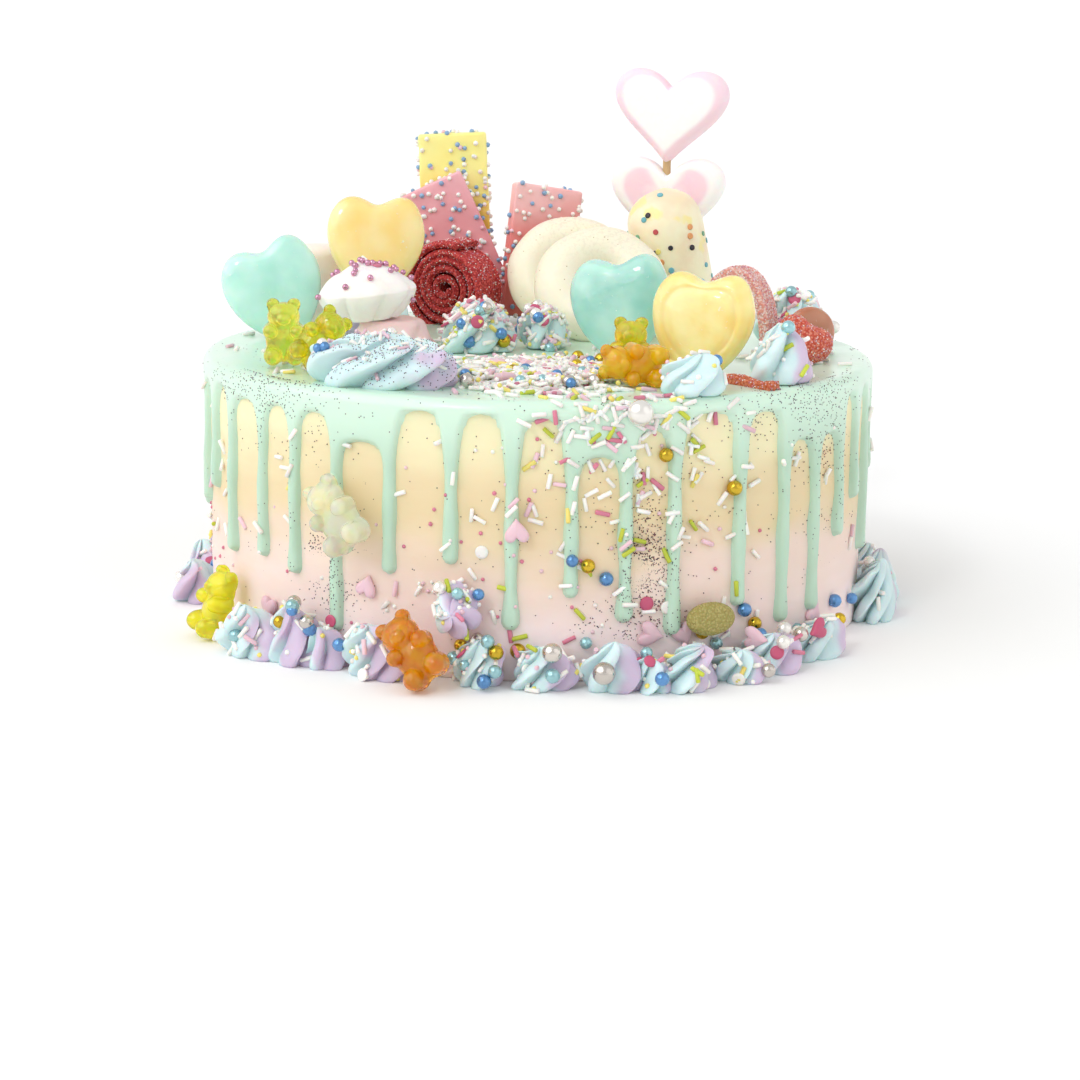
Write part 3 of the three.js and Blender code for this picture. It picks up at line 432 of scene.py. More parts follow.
def tinted_paint(name, lump, detail, depth, **fixed):
    """A material with the colour of each point, and lumps of a size and depth in mm."""
    made = Paint(name, **fixed)
    made.feed("Base Color", made.tint())
    return made.bump(made.noise(lump * MM, detail), depth * MM)


piped = tinted_paint("piped_buttercream", 2.2, 4, 0.18,
                     Roughness=0.42, Subsurface_Weight=0.3, Subsurface_Scale=0.003)


def pipe_icing(name, rings_and_tints, replaces):
    """One piece of piped icing from one or more swirls. Its skin is kept, for the sprinkles that lie on
    it."""
    parts = []
    base = 0
    for rings, tint in rings_and_tints:
        points, faces = wrapped(rings)
        parts.append((points, outward(points, faces) + base, tint))
        base += len(points)
    points, faces, tint = (np.concatenate(column) for column in zip(*parts))
    icing_skins[name] = (points, faces)
    make_piece(name, points, faces, piped, "piped_icing", replaces, tint)


def border_swirl(angle_deg, reach, half, height, seed):
    """One swirl of the border, with its foot's reach from the axis, half its length and its height in
    mm."""
    depth = max((reach - CAKE_R / MM) / 2, BORDER_LEAST_DEPTH)
    ridges = 5 + int(2.4 * chance(seed + 21)) + (half > 11)
    twist, phase = 50 + 80 * chance(seed + 3), 60 * chance(angle_deg)
    outwards = (chance(seed + 7) - 0.5) * 2.2 - np.pi / 2
    rings = swirl(half * MM, depth * MM, height * MM, ridges, twist, phase, seed=seed, lean_way=outwards,
                  **BORDER_STYLE)
    angle = np.radians(angle_deg)
    rings = turned(rings, angle) + round_axis(angle, (reach - depth) * MM, 0.0)
    facing = angle + (chance(seed + 11) - 0.5) * 1.4
    return rings, two_tone(rings, facing, 0.5 * (chance(seed + 5) - 0.5) - 0.2)


for node in range(1, SEEN_BORDER[-1][0] + 1):
    own = [border_swirl(*row[1:], k) for k, row in enumerate(SEEN_BORDER) if row[0] == node]
    pipe_icing(f"icing_border_{node:02d}", own, [f"border_{node:02d}"])

back_start = SEEN_BORDER[-1][1] + END_HALF_DEG
back_end = 360 + SEEN_BORDER[0][1] - END_HALF_DEG
for group in range(BACK_GROUPS):
    middle = back_start + (back_end - back_start) * (group + 0.5) / BACK_GROUPS
    three = []
    for step in (-1, 0, 1):
        k = group * 3 + step
        reach, height = BACK_REACH + 3 * chance(k + 20), BACK_H + 3 * chance(k + 30)
        three.append(border_swirl(middle + step * BACK_PITCH_DEG, reach, BACK_HALF, height, k + 40))
    pipe_icing(f"icing_border_back_{group + 1}", three, [f"border_back_{group + 1}"])

# The swirls on top come from the same bag. The one at the front left was drawn out sideways, so it is
# twice as long as it is deep. A small lilac one clings to the side above the border. A row has half its
# width, half its depth and its height in mm, its ridges and their phase, the way its lilac side faces,
# how far that side reaches, how domed it is, and its turn in degrees.
TOP_TWIST_DEG = 80
TOP_GROOVE = 0.44
TOP_SWIRLS = {
    "rosette_middle_left": (12.4, 11, 14.5, 6, 10, 0.3, -0.9, 2.6, 0),
    "rosette_middle_right": (7.6, 8.2, 12, 5, 40, 0.5, -0.9, 2.6, 0),
    "rosette_front_right": (10.2, 8.4, 11, 5, 0, 0.9, -0.75, 1.8, 0),
    "rosette_right": (9.8, 9.4, 16, 5, 25, 0.1, -0.25, 1.6, 0),
    "rosette_back_right": (11, 11, 17, 6, 15, 0.6, -0.5, 2.2, 0),
    "rosette_back_1": (11.5, 11, 14, 6, 5, 2.0, -0.2, 2, 0),
    "rosette_back_2": (11.5, 11, 14, 6, 35, 2.5, -0.2, 2, 0),
    "rosette_under_heart": (11, 10, 12.4, 6, 35, 2.5, -0.2, 2, 0),
    "rosette_front_left": (24, 12.6, 14, 7, 4, -0.55, -0.68, 3.2, -24),
}
CLINGING_DEG = -11.6
CLINGING_TILT_DEG = 72
CLINGING_Z = 19.8 * MM
CLINGING_OUT = 3.4 * MM


def box_centre(node):
    """The middle of a node's box."""
    low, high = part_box(node)
    return (np.array(low) + np.array(high)) / 2


def on_node(points, node):
    """Points moved so that their box has the node's centre from above and the node's top."""
    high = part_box(node)[1]
    centre = box_centre(node)
    flat = points.reshape(-1, 3)
    middle = (flat.min(0) + flat.max(0)) / 2
    return points + (centre[0] - middle[0], centre[1] - middle[1], high.z - flat[:, 2].max())


for seed, (node, row) in enumerate(TOP_SWIRLS.items(), 3):
    rx, ry, h, ridges, phase, facing, share, dome, yaw_deg = row
    rings = swirl(rx * MM, ry * MM, h * MM, ridges, TOP_TWIST_DEG, phase, TOP_GROOVE, seed, dome=dome)
    rings = on_node(turned(rings, np.radians(yaw_deg)), node)
    pipe_icing(f"icing_{node}", [(rings, two_tone(rings, facing, share))], [node])


def tipped(points, tilt_deg):
    """Points tipped back about the X axis."""
    c, s = np.cos(np.radians(tilt_deg)), np.sin(np.radians(tilt_deg))
    return points @ np.array([[1, 0, 0], [0, c, s], [0, -s, c]])


clinging = swirl(7 * MM, 7.6 * MM, 9 * MM, ridges=6, twist=60, phase=0, groove=0.42, seed=2)
clinging = tipped(clinging, CLINGING_TILT_DEG)
angle = np.radians(CLINGING_DEG)
clinging = turned(clinging, angle) + round_axis(angle, CAKE_R + CLINGING_OUT, CLINGING_Z)
pipe_icing("icing_side_rosette", [(clinging, two_tone(clinging, 0.2, 0.35))], ["side_rosette"])

# The jelly hearts are poured into moulds: cloudy and glossy, with rounded edges and frosty specks. The
# yellow one on the right has a pressed line inside its edge. A row has the slot, the turn, the two
# colours and the depth of the line in mm. A turn is the yaw, lean and roll in degrees.
JELLY_HEART = {"width": 30.3 * MM, "height": 31.2 * MM, "thick": 9 * MM}
PLUMP = {
    "across": (13.3, -1.8), "up": (16.3, -3.0, -1.9, -0.3),
    "widest": 30.1, "lowest": 17.7, "tallest": 30.9,
}
NOTCHED = {
    "across": (12.6, -3), "up": (13, -4.8, -1.6, -0.6),
    "widest": 30.4, "lowest": 16.8, "tallest": 27.4,
}
HEART_MIDDLE = 0.56
PRESSED_AT = 0.74
POLE = 0.02
HEARTS = {
    "heart_mint_left": ("jelly_mint", (8, 5, -20), (206, 246, 234), (176, 232, 218), 0),
    "heart_yellow_left": ("jelly_yellow", (10, 8, 3), (254, 232, 166), (252, 220, 130), 0),
    "heart_mint_right": ("jelly_mint", (-18, 10, -7), (184, 230, 217), (144, 208, 195), 0),
    "heart_yellow_right": ("jelly_yellow", (-22, 9, 3), (255, 238, 170), (248, 214, 112), 0.7),
}


def front_to_back(rows, edge):
    """Angle of each ring of a domed shape from its front to its back, and the ring's size as a share of
    the outline's: a power of the angle's sine, which makes the edge the squarer the larger the edge
    value."""
    deep = np.linspace(POLE, np.pi - POLE, rows)[:, None]
    return deep, np.sin(deep) ** (2 / edge)


def heart_rings(width, height, thick, form, edge=5.0, line=0.0, points=120, rows=36, oval=1.0):
    """A heart in X and Z, as rings from its front to its back. The outline is a sum of sines across and
    of cosines upwards. Each ring is the outline shrunk towards a middle. With oval at 1 a ring is the
    more like an oval the nearer it is to the middle."""
    t = turns(points)[None]
    across = sum(v * np.sin((2 * n + 1) * t) for n, v in enumerate(form["across"])) / form["widest"]
    up = (sum(v * np.cos((n + 1) * t) for n, v in enumerate(form["up"])) + form["lowest"]) / form["tallest"]
    deep, share = front_to_back(rows, edge)
    pressed = np.exp(-(((share - PRESSED_AT) / 0.045) ** 2)) * (deep < np.pi / 2) * line * MM
    like_edge = share ** (1.5 * oval)
    x = share * (across * like_edge + 0.45 * np.sin(t) * (1 - like_edge)) * width
    z = HEART_MIDDLE + share * ((up - HEART_MIDDLE) * like_edge + 0.42 * np.cos(t) * (1 - like_edge))
    return grid(x, -np.cos(deep) * thick / 2 + pressed, z * height)


def tilt(yaw=0, lean=0, roll=0):
    """The turn that rolls about Y, then leans back about X, then turns about Z, in degrees."""
    r, l, y = np.radians([roll, -lean, yaw])
    about_y = np.array([[np.cos(r), 0, np.sin(r)], [0, 1, 0], [-np.sin(r), 0, np.cos(r)]])
    about_x = np.array([[1, 0, 0], [0, np.cos(l), -np.sin(l)], [0, np.sin(l), np.cos(l)]])
    about_z = np.array([[np.cos(y), -np.sin(y), 0], [np.sin(y), np.cos(y), 0], [0, 0, 1]])
    return (about_z @ about_x @ about_y).T


def stood(points, node, yaw=0, lean=0, roll=0):
    """Points tilted, then set where the node is."""
    return on_node(points @ tilt(yaw, lean, roll), node)


def jelly_paint(name, pale, deep):
    """Cloudy, glossy jelly: two colours in soft clouds, frosty specks, and a wet coat."""
    made = Paint(name, Roughness=0.2, Subsurface_Weight=0.75, Subsurface_Scale=0.007, Coat_Weight=1.0,
                 Coat_Roughness=0.05)
    clouds = made.mix(made.noise(12 * MM, 2).rise(0.3, 0.75), pale, deep)
    frost = made.noise(1.3 * MM, 3).rise(0.66, 0.74) * made.noise(6 * MM, 2).rise(0.45, 0.6)
    made.feed("Base Color", made.mix(frost * 0.6, clouds, (252, 254, 248)))
    return made.bump(made.noise(5 * MM, 2) + frost * 0.25, 0.3 * MM)


for node, (slot, turn, pale, deep, line) in HEARTS.items():
    rings = heart_rings(**JELLY_HEART, form=PLUMP, line=line)
    rings *= 1 + 0.012 * ripple(rings, 12 * MM, 21)[..., None]
    paint = jelly_paint(f"jelly_{node}", pale, deep)
    make_piece(f"jelly_{node}", *wrapped(stood(rings, node, *turn)), paint, slot, [node])

# The gummy bears are clear jelly from starch moulds, flat behind, with a round belly, ears, arms and
# feet. They are glossy. Each lets its own share of the light through. A row has the slot, the turn, the
# scale, that share and the two colours.
BEAR_H = 19 * MM
BEAR_LOWEST = 0.1 * MM
BEARS = {
    "bear_left_standing": ("gummy_green", (6, 0, 0), 1, 0.85, (255, 244, 104), (240, 232, 72)),
    "bear_left_lying": ("gummy_green", (10, 8, 40), 1, 0.85, (250, 236, 56), (222, 212, 30)),
    "bear_right_standing": ("gummy_green", (-4, 10, 0), 1, 0.8, (255, 240, 60), (252, 208, 24)),
    "bear_right_lying": ("gummy_orange", (20, 0, -84), 1, 0.45, (255, 214, 24), (255, 180, 2)),
    "bear_side": ("gummy_pale", (-26.8, 0, -38), 1.12, 0.55, (255, 255, 240), (254, 255, 206)),
    "bear_base_yellow": ("gummy_yellow", (-59.5, 12, 8), 1.08, 0.55, (255, 250, 50), (255, 242, 10)),
    "bear_base_orange": ("gummy_orange", (-13.3, 14, -42), 1.12, 0.65, (250, 186, 10), (240, 146, 0)),
}
BEAR_GRID_H = 20
BEAR_MIDDLE = 10
BEAR_PARTS = [
    ((0, 0, 7.6), (5.6, 4.6, 7.2)), ((0, -0.6, 14.6), (5.0, 4.6, 4.3)), ((0, -4.0, 13.8), (2.1, 1.6, 1.6)),
    ((4.0, -3, 10.2), (2.4, 3, 2.3)), ((-4.0, -3, 10.2), (2.4, 3, 2.3)),
    ((3.4, -3.4, 2.8), (2.9, 3.8, 3.0)), ((-3.4, -3.4, 2.8), (2.9, 3.8, 3.0)),
    ((3.3, -0.4, 18.2), (1.9, 1.7, 1.8)), ((-3.3, -0.4, 18.2), (1.9, 1.7, 1.8)),
]


def bear_body():
    """A bear 20 high as rings from the middle of its front to the middle of its back. Its outline is the
    reach of its parts' ovals from a point at half its height. The front stands out by the domes of those
    parts. Both are high power means, which blend the parts softly. The back is nearly flat."""
    angle = turns(140)[None]
    way = np.cos(angle), np.sin(angle)
    reach = np.full(angle.shape, 1.0)
    for (cx, _, cz), (a, _, c) in BEAR_PARTS:
        up = cz - BEAR_MIDDLE
        qa = (way[0] / a) ** 2 + (way[1] / c) ** 2
        qb = -(way[0] * cx / a**2 + way[1] * up / c**2)
        root = qb**2 - qa * ((cx / a) ** 2 + (up / c) ** 2 - 1)
        leaves = np.where(root > 0, (-qb + np.sqrt(np.maximum(root, 0))) / qa, 0)
        reach += np.maximum(leaves, 0) ** 12
    reach = 0.98 * reach ** (1 / 12)
    share = np.sin(np.linspace(0.03, np.pi / 2, 46))[:, None]
    x, z = share * reach * way[0], share * reach * way[1] + BEAR_MIDDLE
    front = np.zeros(x.shape)
    for (cx, cy, cz), (a, b, c) in BEAR_PARTS:
        dome = np.sqrt(np.maximum(1 - ((x - cx) / a) ** 2 - ((z - cz) / c) ** 2, 0))
        front += (b * dome - cy * np.minimum(2.5 * dome, 1)) ** 6
    front = grid(x, -(front ** (1 / 6)) * np.minimum((1 - share) * 60, 1), z)
    back = grid(x, 2.3 * np.sqrt(1 - share**5), z)
    return np.concatenate([front, back[-2::-1]])


def gummy_paint(name, pale, deep, clear):
    """Clear jelly: a share of the light passes through, some spreads inside, and the skin shines."""
    made = Paint(name, Roughness=0.07, Subsurface_Weight=0.8, Subsurface_Scale=0.004,
                 Transmission_Weight=clear, IOR=1.42, Coat_Weight=0.35)
    made.feed("Base Color", made.mix(made.noise(5 * MM, 2).rise(0.3, 0.7), pale, deep))
    return made.bump(made.noise(2.8 * MM, 2), 0.4 * MM)


for node, (slot, turn, scale, clear, pale, deep) in BEARS.items():
    size = BEAR_H / BEAR_GRID_H * scale
    points, faces = wrapped(bear_body())
    points = stood(points * size, node, *turn)
    points[:, 2] = np.maximum(points[:, 2], BEAR_LOWEST)
    paint = gummy_paint(f"gummy_{node}", pale, deep, clear)
    make_piece(f"gummy_{node}", points, outward(points, faces), paint, slot, [node])

# The meringues are two piped kisses. The white one sits on the foot of a pink one, a little to the left.
# Both are satin and dry. The white one has a fluted underside and a small peak.
WIDEST_AT = 0.42
sweet_skins = {}


def add_sweet(name, node, rings, turn, paint, slot):
    """Stands a sweet on its node with a turn, and keeps its skin for the sugar that lies on it."""
    points, faces = wrapped(stood(rings, node, *turn))
    sweet_skins[node] = (points, outward(points, faces))
    make_piece(name, *sweet_skins[node], paint, slot, [node])


def spun(reach, angle, z):
    """Points round an upright line, at a reach, an angle and a height."""
    return grid(reach * np.cos(angle), reach * np.sin(angle), z)


def kiss_rings(radius, height):
    """A dome whose underside is drawn in and fluted, with a small peak: below its widest level the reach
    grows as a sine, and above it is the fourth-power mean of a dome and a thin cone."""
    level = np.linspace(0, 1, 80)[:, None]
    angle = turns(144)[None]
    over = np.clip((level - WIDEST_AT) / (1 - WIDEST_AT), 0, 1)
    under = 0.64 + 0.36 * np.sin(np.pi / 2 * np.minimum(level / WIDEST_AT, 1))
    round_top = np.maximum(1 - (over / 0.86) ** 1.4, 0) ** 0.68
    peak = 0.42 * (1 - over) ** 0.7
    reach = np.where(level < WIDEST_AT, under, (round_top**4 + peak**4) ** 0.25)
    flute = np.abs(np.sin(4.5 * (angle - 0.5 * level) + 0.4 * np.sin(2 * angle))) ** 0.6
    reach = radius * reach * (1 - 0.22 * (1 - flute) * np.exp(-((level / 0.36) ** 3)))
    return spun(reach, angle, height * level)


def foot_rings(radius, height):
    """The lower half of a kiss: it spreads at its foot as a power of the height left, with slanting
    ridges."""
    level = np.linspace(0, 1, 50)[:, None]
    angle = turns(120)[None]
    reach = 0.64 + 0.36 * (1 - level) ** 1.7 - 0.08 * np.exp(-level * 22) - 0.12 * np.exp((level - 1) * 16)
    reach = radius * reach * (1 + 0.035 * np.sin(7 * (angle - 0.9 * level)))
    return spun(reach, angle, height * level)


for node, rings, roll, pale, deep in [
    ("meringue_pink", foot_rings(15 * MM, 9.2 * MM), 0, (246, 218, 216), (240, 204, 202)),
    ("meringue_white", kiss_rings(14.8 * MM, 18.4 * MM), -6, (255, 251, 248), (250, 240, 234)),
]:
    meringue = Paint(node, Roughness=0.5, Subsurface_Weight=0.35, Subsurface_Scale=0.004)
    meringue.feed("Base Color", meringue.mix(meringue.noise(8 * MM, 3), pale, deep))
    meringue.bump(meringue.noise(5 * MM, 3), 0.5 * MM)
    rings = rings * (1 + 0.02 * ripple(rings, 11 * MM, 23)[..., None])
    add_sweet(f"{node}_piece", node, rings, (0, 0, roll), meringue, node)

# The slabs are broken from sheets of coloured chocolate, smooth in front, with hundreds-and-thousands set
# in their faces and edges. Low down each is painted in a darker colour, the last in its row, as painted
# shade.
SLABS = {
    "slab_pink_left": (
        "chocolate_pink", (22, 4, 46.4), (0, 5, -25), (246, 194, 204), (236, 172, 182), (230, 150, 156)),
    "slab_yellow": (
        "chocolate_yellow", (22.5, 6, 60), (0, 0, -3), (255, 250, 176), (255, 238, 124), (248, 200, 56)),
    "slab_pink_right": (
        "chocolate_pink", (24, 4.5, 43.6), (24, 6, 9), (252, 216, 216), (246, 194, 196), (228, 118, 112)),
}
SLAB_EDGE = 0.8 * MM
# Heights between which the painted shade at a slab's foot gives way to its own colours.
SLAB_SHADE = (108 * MM, 142 * MM)


def eased_levels(height, edge):
    """How far a block's sides are drawn in at each of its levels, and the levels, for a rounded foot and
    top."""
    inset = np.concatenate([[1, 0.4, 0.1], np.zeros(30), [0.1, 0.4, 1]])
    last = height / edge
    rise = np.concatenate([[0, 0.25, 0.7], np.linspace(1, last - 1, 30), last - np.array([0.7, 0.25, 0])])
    return inset[:, None] * edge, (rise * edge)[:, None]


def slab_rings(width, depth, height):
    """A box with rounded edges as level rings: a high-power oval for the plan, drawn in at the foot and
    top."""
    inset, level = eased_levels(height, SLAB_EDGE)
    angle = turns(96)[None]
    power = 2 / 14
    c, s = np.cos(angle), np.sin(angle)
    x = (width / 2 - inset) * np.sign(c) * np.abs(c) ** power
    y = (depth / 2 - inset) * np.sign(s) * np.abs(s) ** power
    return grid(x, y, level)


for node, (slot, size, turn, pale, deep, low) in SLABS.items():
    chocolate = Paint(f"chocolate_{node}", Roughness=0.34, Subsurface_Weight=0.15, Subsurface_Scale=0.002)
    clouds = chocolate.mix(chocolate.noise(14 * MM, 3), pale, deep)
    # Painted shade: below a wavy height between 108 and 142 mm the slab takes its last, darker colour.
    upper = (chocolate.height() + chocolate.noise(20 * MM, 2) * (24 * MM)).rise(*SLAB_SHADE)
    chocolate.feed("Base Color", chocolate.mix(upper, low, clouds))
    chocolate.bump(chocolate.noise(6 * MM, 3), 0.2 * MM)
    rings = slab_rings(*(v * MM for v in size))
    rings = rings + 0.25 * MM * ripple(rings, 14 * MM, 31)[..., None] * (0.3, 1, 0.3)
    add_sweet(f"chocolate_{node}", node, rings, turn, chocolate, slot)

# The sour belts are ridged strips of chewy candy rolled in sour sugar: a red one wound up tight and an
# orange one bent into an arch.
ROLL = {"outer": 14.9 * MM, "inner": 1.6 * MM, "wraps": 4.8}
RED_BELT = {"width": 14 * MM, "thickness": 1.9 * MM, "ridges": 5}
ARCH = {"half": 9.4 * MM, "height": 25.4 * MM}
ORANGE_BELT = {"width": 10.5 * MM, "thickness": 2.8 * MM, "ridges": 2}


def belt(path, width, thickness, ridges):
    """A strip that follows a path in X and Z. Its section is a flat oval of high power across Y, whose
    faces wave with the ridges, set square to the path at every point."""
    way = np.gradient(path, axis=0)
    way /= np.linalg.norm(way, axis=1, keepdims=True)
    q = turns(72)
    across = np.sign(np.cos(q)) * np.abs(np.cos(q)) ** (2 / 7) * width / 2
    out = np.sign(np.sin(q)) * np.abs(np.sin(q)) ** (2 / 5) * thickness / 2
    out = out * (1 + 0.4 * np.cos(across / width * 2 * np.pi * ridges))
    x = path[:, None, 0] - way[:, None, 1] * out
    z = path[:, None, 1] + way[:, None, 0] * out
    return grid(x, across[None], z)


def wound(outer, inner, wraps, steps=260):
    """A widening spiral in X and Z."""
    t = np.linspace(0, 1, steps)
    radius = inner + (outer - inner) * t + 0.35 * MM * np.sin(23 * t) + 0.25 * MM * np.sin(61 * t + 1)
    angle = wraps * 2 * np.pi * t
    return np.stack([radius * np.cos(angle), -radius * np.sin(angle)], 1)


def arched(half, height, steps=90):
    """A tall arch in X and Z: a half circle stretched upwards by a power of its sine, so it has steep
    legs."""
    angle = np.linspace(np.pi, 0, steps)
    return np.stack([half * np.cos(angle), height * np.sin(angle) ** 0.62], 1)


def sour_paint(name, pale, deep):
    """Sugared chewy candy: the candy's colour shows between the grains, which shine in the light."""
    made = Paint(name, Roughness=0.55, Subsurface_Weight=0.25, Subsurface_Scale=0.003)
    grains = made.cells(0.75 * MM).rise(0.2, 0.75)
    made.feed("Base Color", made.mix(grains, pale, deep))
    return made.bump(grains, 0.25 * MM)


roll = belt(wound(**ROLL), **RED_BELT)
add_sweet("sour_red_roll", "sour_roll", roll, (-33, 0, 0),
          sour_paint("sour_red_belt", (218, 84, 78), (166, 20, 28)), "sour_red")
arch = belt(arched(**ARCH), **ORANGE_BELT)
add_sweet("sour_orange_arch", "sour_arch", arch, (-22, 0, -4),
          sour_paint("sour_orange_belt", (244, 212, 206), (226, 150, 136)), "sour_orange")

# The sugared berry sweet, a short orange strip and the brown jelly disc are near the rim, and the
# olive-coloured jelly is on the border. All but the brown one are rolled in sugar.
BERRY = {"width": 17.5 * MM, "height": 14 * MM, "thick": 12 * MM}
STRIP = {"width": 4.6 * MM, "thickness": 2.2 * MM, "ridges": 2}
STRIP_HALF = 9


def disc_rings(radius, thick):
    """A disc that stands on its edge, as rings from front to back: a circle shrunk by a power of a
    sine."""
    angle = turns(72)[None]
    deep, share = front_to_back(30, 4)
    x = radius * share * np.cos(angle)
    z = radius + radius * share * np.sin(angle)
    return grid(x, -np.cos(deep) * thick / 2, z)


berry = heart_rings(**BERRY, form=PLUMP, edge=2.6, points=72, rows=30)
add_sweet("sugared_berry_piece", "sugared_berry", berry, (15, 14, 30),
          sour_paint("sugared_berry_candy", (232, 140, 116), (196, 66, 40)), "sour_orange")
strip_x = np.linspace(-STRIP_HALF, STRIP_HALF, 60) * MM
strip = belt(np.stack([strip_x, 0.5 * MM * np.sin(np.linspace(0, 7, 60))], 1), **STRIP)
add_sweet("sour_strip_piece", "sour_strip", strip, (-47, 0, 0),
          sour_paint("sour_orange_strip", (222, 130, 92), (190, 84, 40)), "sour_orange")
cola = disc_rings(7.6 * MM, 5 * MM)
add_sweet("cola_disc_piece", "cola_disc", cola, (12, 8, 0),
          jelly_paint("cola_jelly", (196, 140, 104), (168, 108, 72)), "cola_jelly")
olive = disc_rings(7.4 * MM, 5.4 * MM) * (1, 1, 0.62)
add_sweet("jelly_olive_piece", "jelly_olive", olive, (27.4, 8, 0),
          sour_paint("olive_sugared_jelly", (182, 170, 104), (158, 146, 76)), "olive_jelly")

# The two mini doughnuts are dipped in white chocolate, which is satin, nearly even, and has a few dark
# specks.
DOUGHNUT_R = 13.2 * MM
TUBE_R = 7.6 * MM
TUBE_FLAT = 0.9


def doughnut_skin(seed):
    """A ring with an oval section, standing in X and Z, as a grid that closes on itself both ways."""
    big, small = np.meshgrid(turns(120), turns(56), indexing="ij")
    reach = DOUGHNUT_R + TUBE_R * np.cos(small)
    points = grid(reach * np.cos(big), TUBE_R * TUBE_FLAT * np.sin(small), reach * np.sin(big))
    points *= 1 + 0.012 * ripple(points, 16 * MM, seed)[..., None]
    index = np.arange(big.size).reshape(big.shape)
    right, above = np.roll(index, -1, 0), np.roll(index, -1, 1)
    both = np.roll(right, -1, 1)
    faces = np.concatenate([np.stack([index, right, both], -1), np.stack([index, both, above], -1)])
    return points.reshape(-1, 3), faces.reshape(-1, 3)


ring_coat = Paint("white_chocolate_coat", Roughness=0.38, Subsurface_Weight=0.3, Subsurface_Scale=0.004)
specks = ring_coat.cells(2.6 * MM).rise(0.07, 0.1)
coat_cream = ring_coat.mix(ring_coat.noise(14 * MM, 3), (247, 242, 222), (240, 232, 204))
dust = ring_coat.noise(0.9 * MM, 3).rise(0.5, 0.62) * ring_coat.height().rise(94 * MM, 114 * MM)
dusted = ring_coat.mix(dust * 0.16, coat_cream, (176, 150, 128))
ring_coat.feed("Base Color", ring_coat.mix(specks, (196, 178, 140), dusted))
ring_coat.bump(ring_coat.noise(4 * MM, 3), 0.3 * MM)
for seed, node in enumerate(["doughnut_rear", "doughnut_front"]):
    points, faces = doughnut_skin(seed + 50)
    points = stood(points, node, lean=36 + 4 * seed)
    make_piece(f"{node}_piece", points, outward(points, faces), ring_coat, "chocolate_white", [node])

# The stick is a marshmallow dipped in white chocolate that is blotched with pink and yellow. Confetti
# lies in its coating.
STICK = {"height": 45.5 * MM, "radius": 12.2 * MM}
STICK_WIDEST_AT = 0.66


def stick_rings(height, radius):
    """A round stick: its reach grows a little as a sine up to its widest level, and then closes over."""
    level = (1 - np.cos(np.linspace(POLE, np.pi - POLE, 70)))[:, None] / 2
    grow = 0.93 + 0.07 * np.sin(np.pi / 2 * np.minimum(level / STICK_WIDEST_AT, 1))
    over = np.clip((level - STICK_WIDEST_AT) / (1 - STICK_WIDEST_AT), 0, 1)
    close = np.sqrt(np.maximum(1 - over**2.6, 0))
    return spun(radius * grow * close, turns(90)[None], height * level)


stick = stick_rings(**STICK)
stick *= 1 + 0.015 * ripple(stick, 14 * MM, 61)[..., None]
stick_coat = Paint("confetti_stick_coat", Roughness=0.42, Subsurface_Weight=0.3, Subsurface_Scale=0.004)
blush = stick_coat.noise(12 * MM, 3).rise(0.35, 0.7)
yellowish = stick_coat.noise(7 * MM, 2).rise(0.56, 0.66)
stick_cream = stick_coat.mix(blush, (250, 240, 208), (242, 222, 190))
stick_coat.feed("Base Color", stick_coat.mix(yellowish * 0.6, stick_cream, (250, 232, 130)))
stick_coat.bump(stick_coat.noise(5 * MM, 3), 0.3 * MM)
add_sweet("confetti_stick_piece", "confetti_stick", stick, (0, 0, -12), stick_coat, "confetti_coating")

# The marshmallows are soft and matt. The upper heart has a white face and a pink rim, the lower one two
# pink patches like ears in a white face, and a plain peach one stands at the back left. A skewer holds
# the hearts.
MARSHMALLOW_HEART = {"width": 37 * MM, "height": 29.5 * MM, "thick": 12 * MM}
MARSHMALLOW_EDGE = 9
CLEFT_FOOT = 15 * MM
CLEFT_BLUR = 0.5 * MM
HEART_MARSHMALLOWS = {
    "marshmallow_upper": ("marshmallow_pink", (-16, 6, 2), (248, 220, 230), (255, 252, 250), 0.8),
    "marshmallow_lower": ("marshmallow_white", (-12, 4, 1), (255, 250, 247), (248, 216, 226), 0.74),
}
PEACH = {"radius": 9.5 * MM, "height": 26 * MM, "edge": 2.5 * MM}
marshmallow = tinted_paint("marshmallow", 1.6, 4, 0.15,
                           Roughness=0.8, Subsurface_Weight=0.5, Subsurface_Scale=0.006)
for node, (slot, turn, rim, face, inner) in HEART_MARSHMALLOWS.items():
    rings = heart_rings(**MARSHMALLOW_HEART, form=NOTCHED, edge=MARSHMALLOW_EDGE, oval=0)
    share = front_to_back(len(rings), MARSHMALLOW_EDGE)[1]
    rim, face = np.array(linear(*rim)), np.array(linear(*face))
    tint = rim + (face - rim) / (1 + np.exp((share - inner) * 60))
    tint = np.concatenate([np.repeat(tint, rings.shape[1], 0), tint[[0, -1]]])
    points, faces = wrapped(rings)
    if node == "marshmallow_lower":
        beside = np.abs(points[:, 0]) - 0.55 * (points[:, 2] - CLEFT_FOOT)
        tint += (rim - tint) / (1 + np.exp(beside / CLEFT_BLUR))[:, None]
    make_piece(f"{node}_piece", stood(points, node, *turn), faces, marshmallow, slot, [node], tint)

inset, level = eased_levels(PEACH["height"], PEACH["edge"])
peach_pillar = spun(PEACH["radius"] - inset, turns(96)[None], level)
points, faces = wrapped(stood(peach_pillar, "marshmallow_peach"))
tint = np.tile(linear(252, 238, 226), (len(points), 1))
make_piece("marshmallow_peach_piece", points, faces, marshmallow, "marshmallow_peach",
           ["marshmallow_peach"], tint)

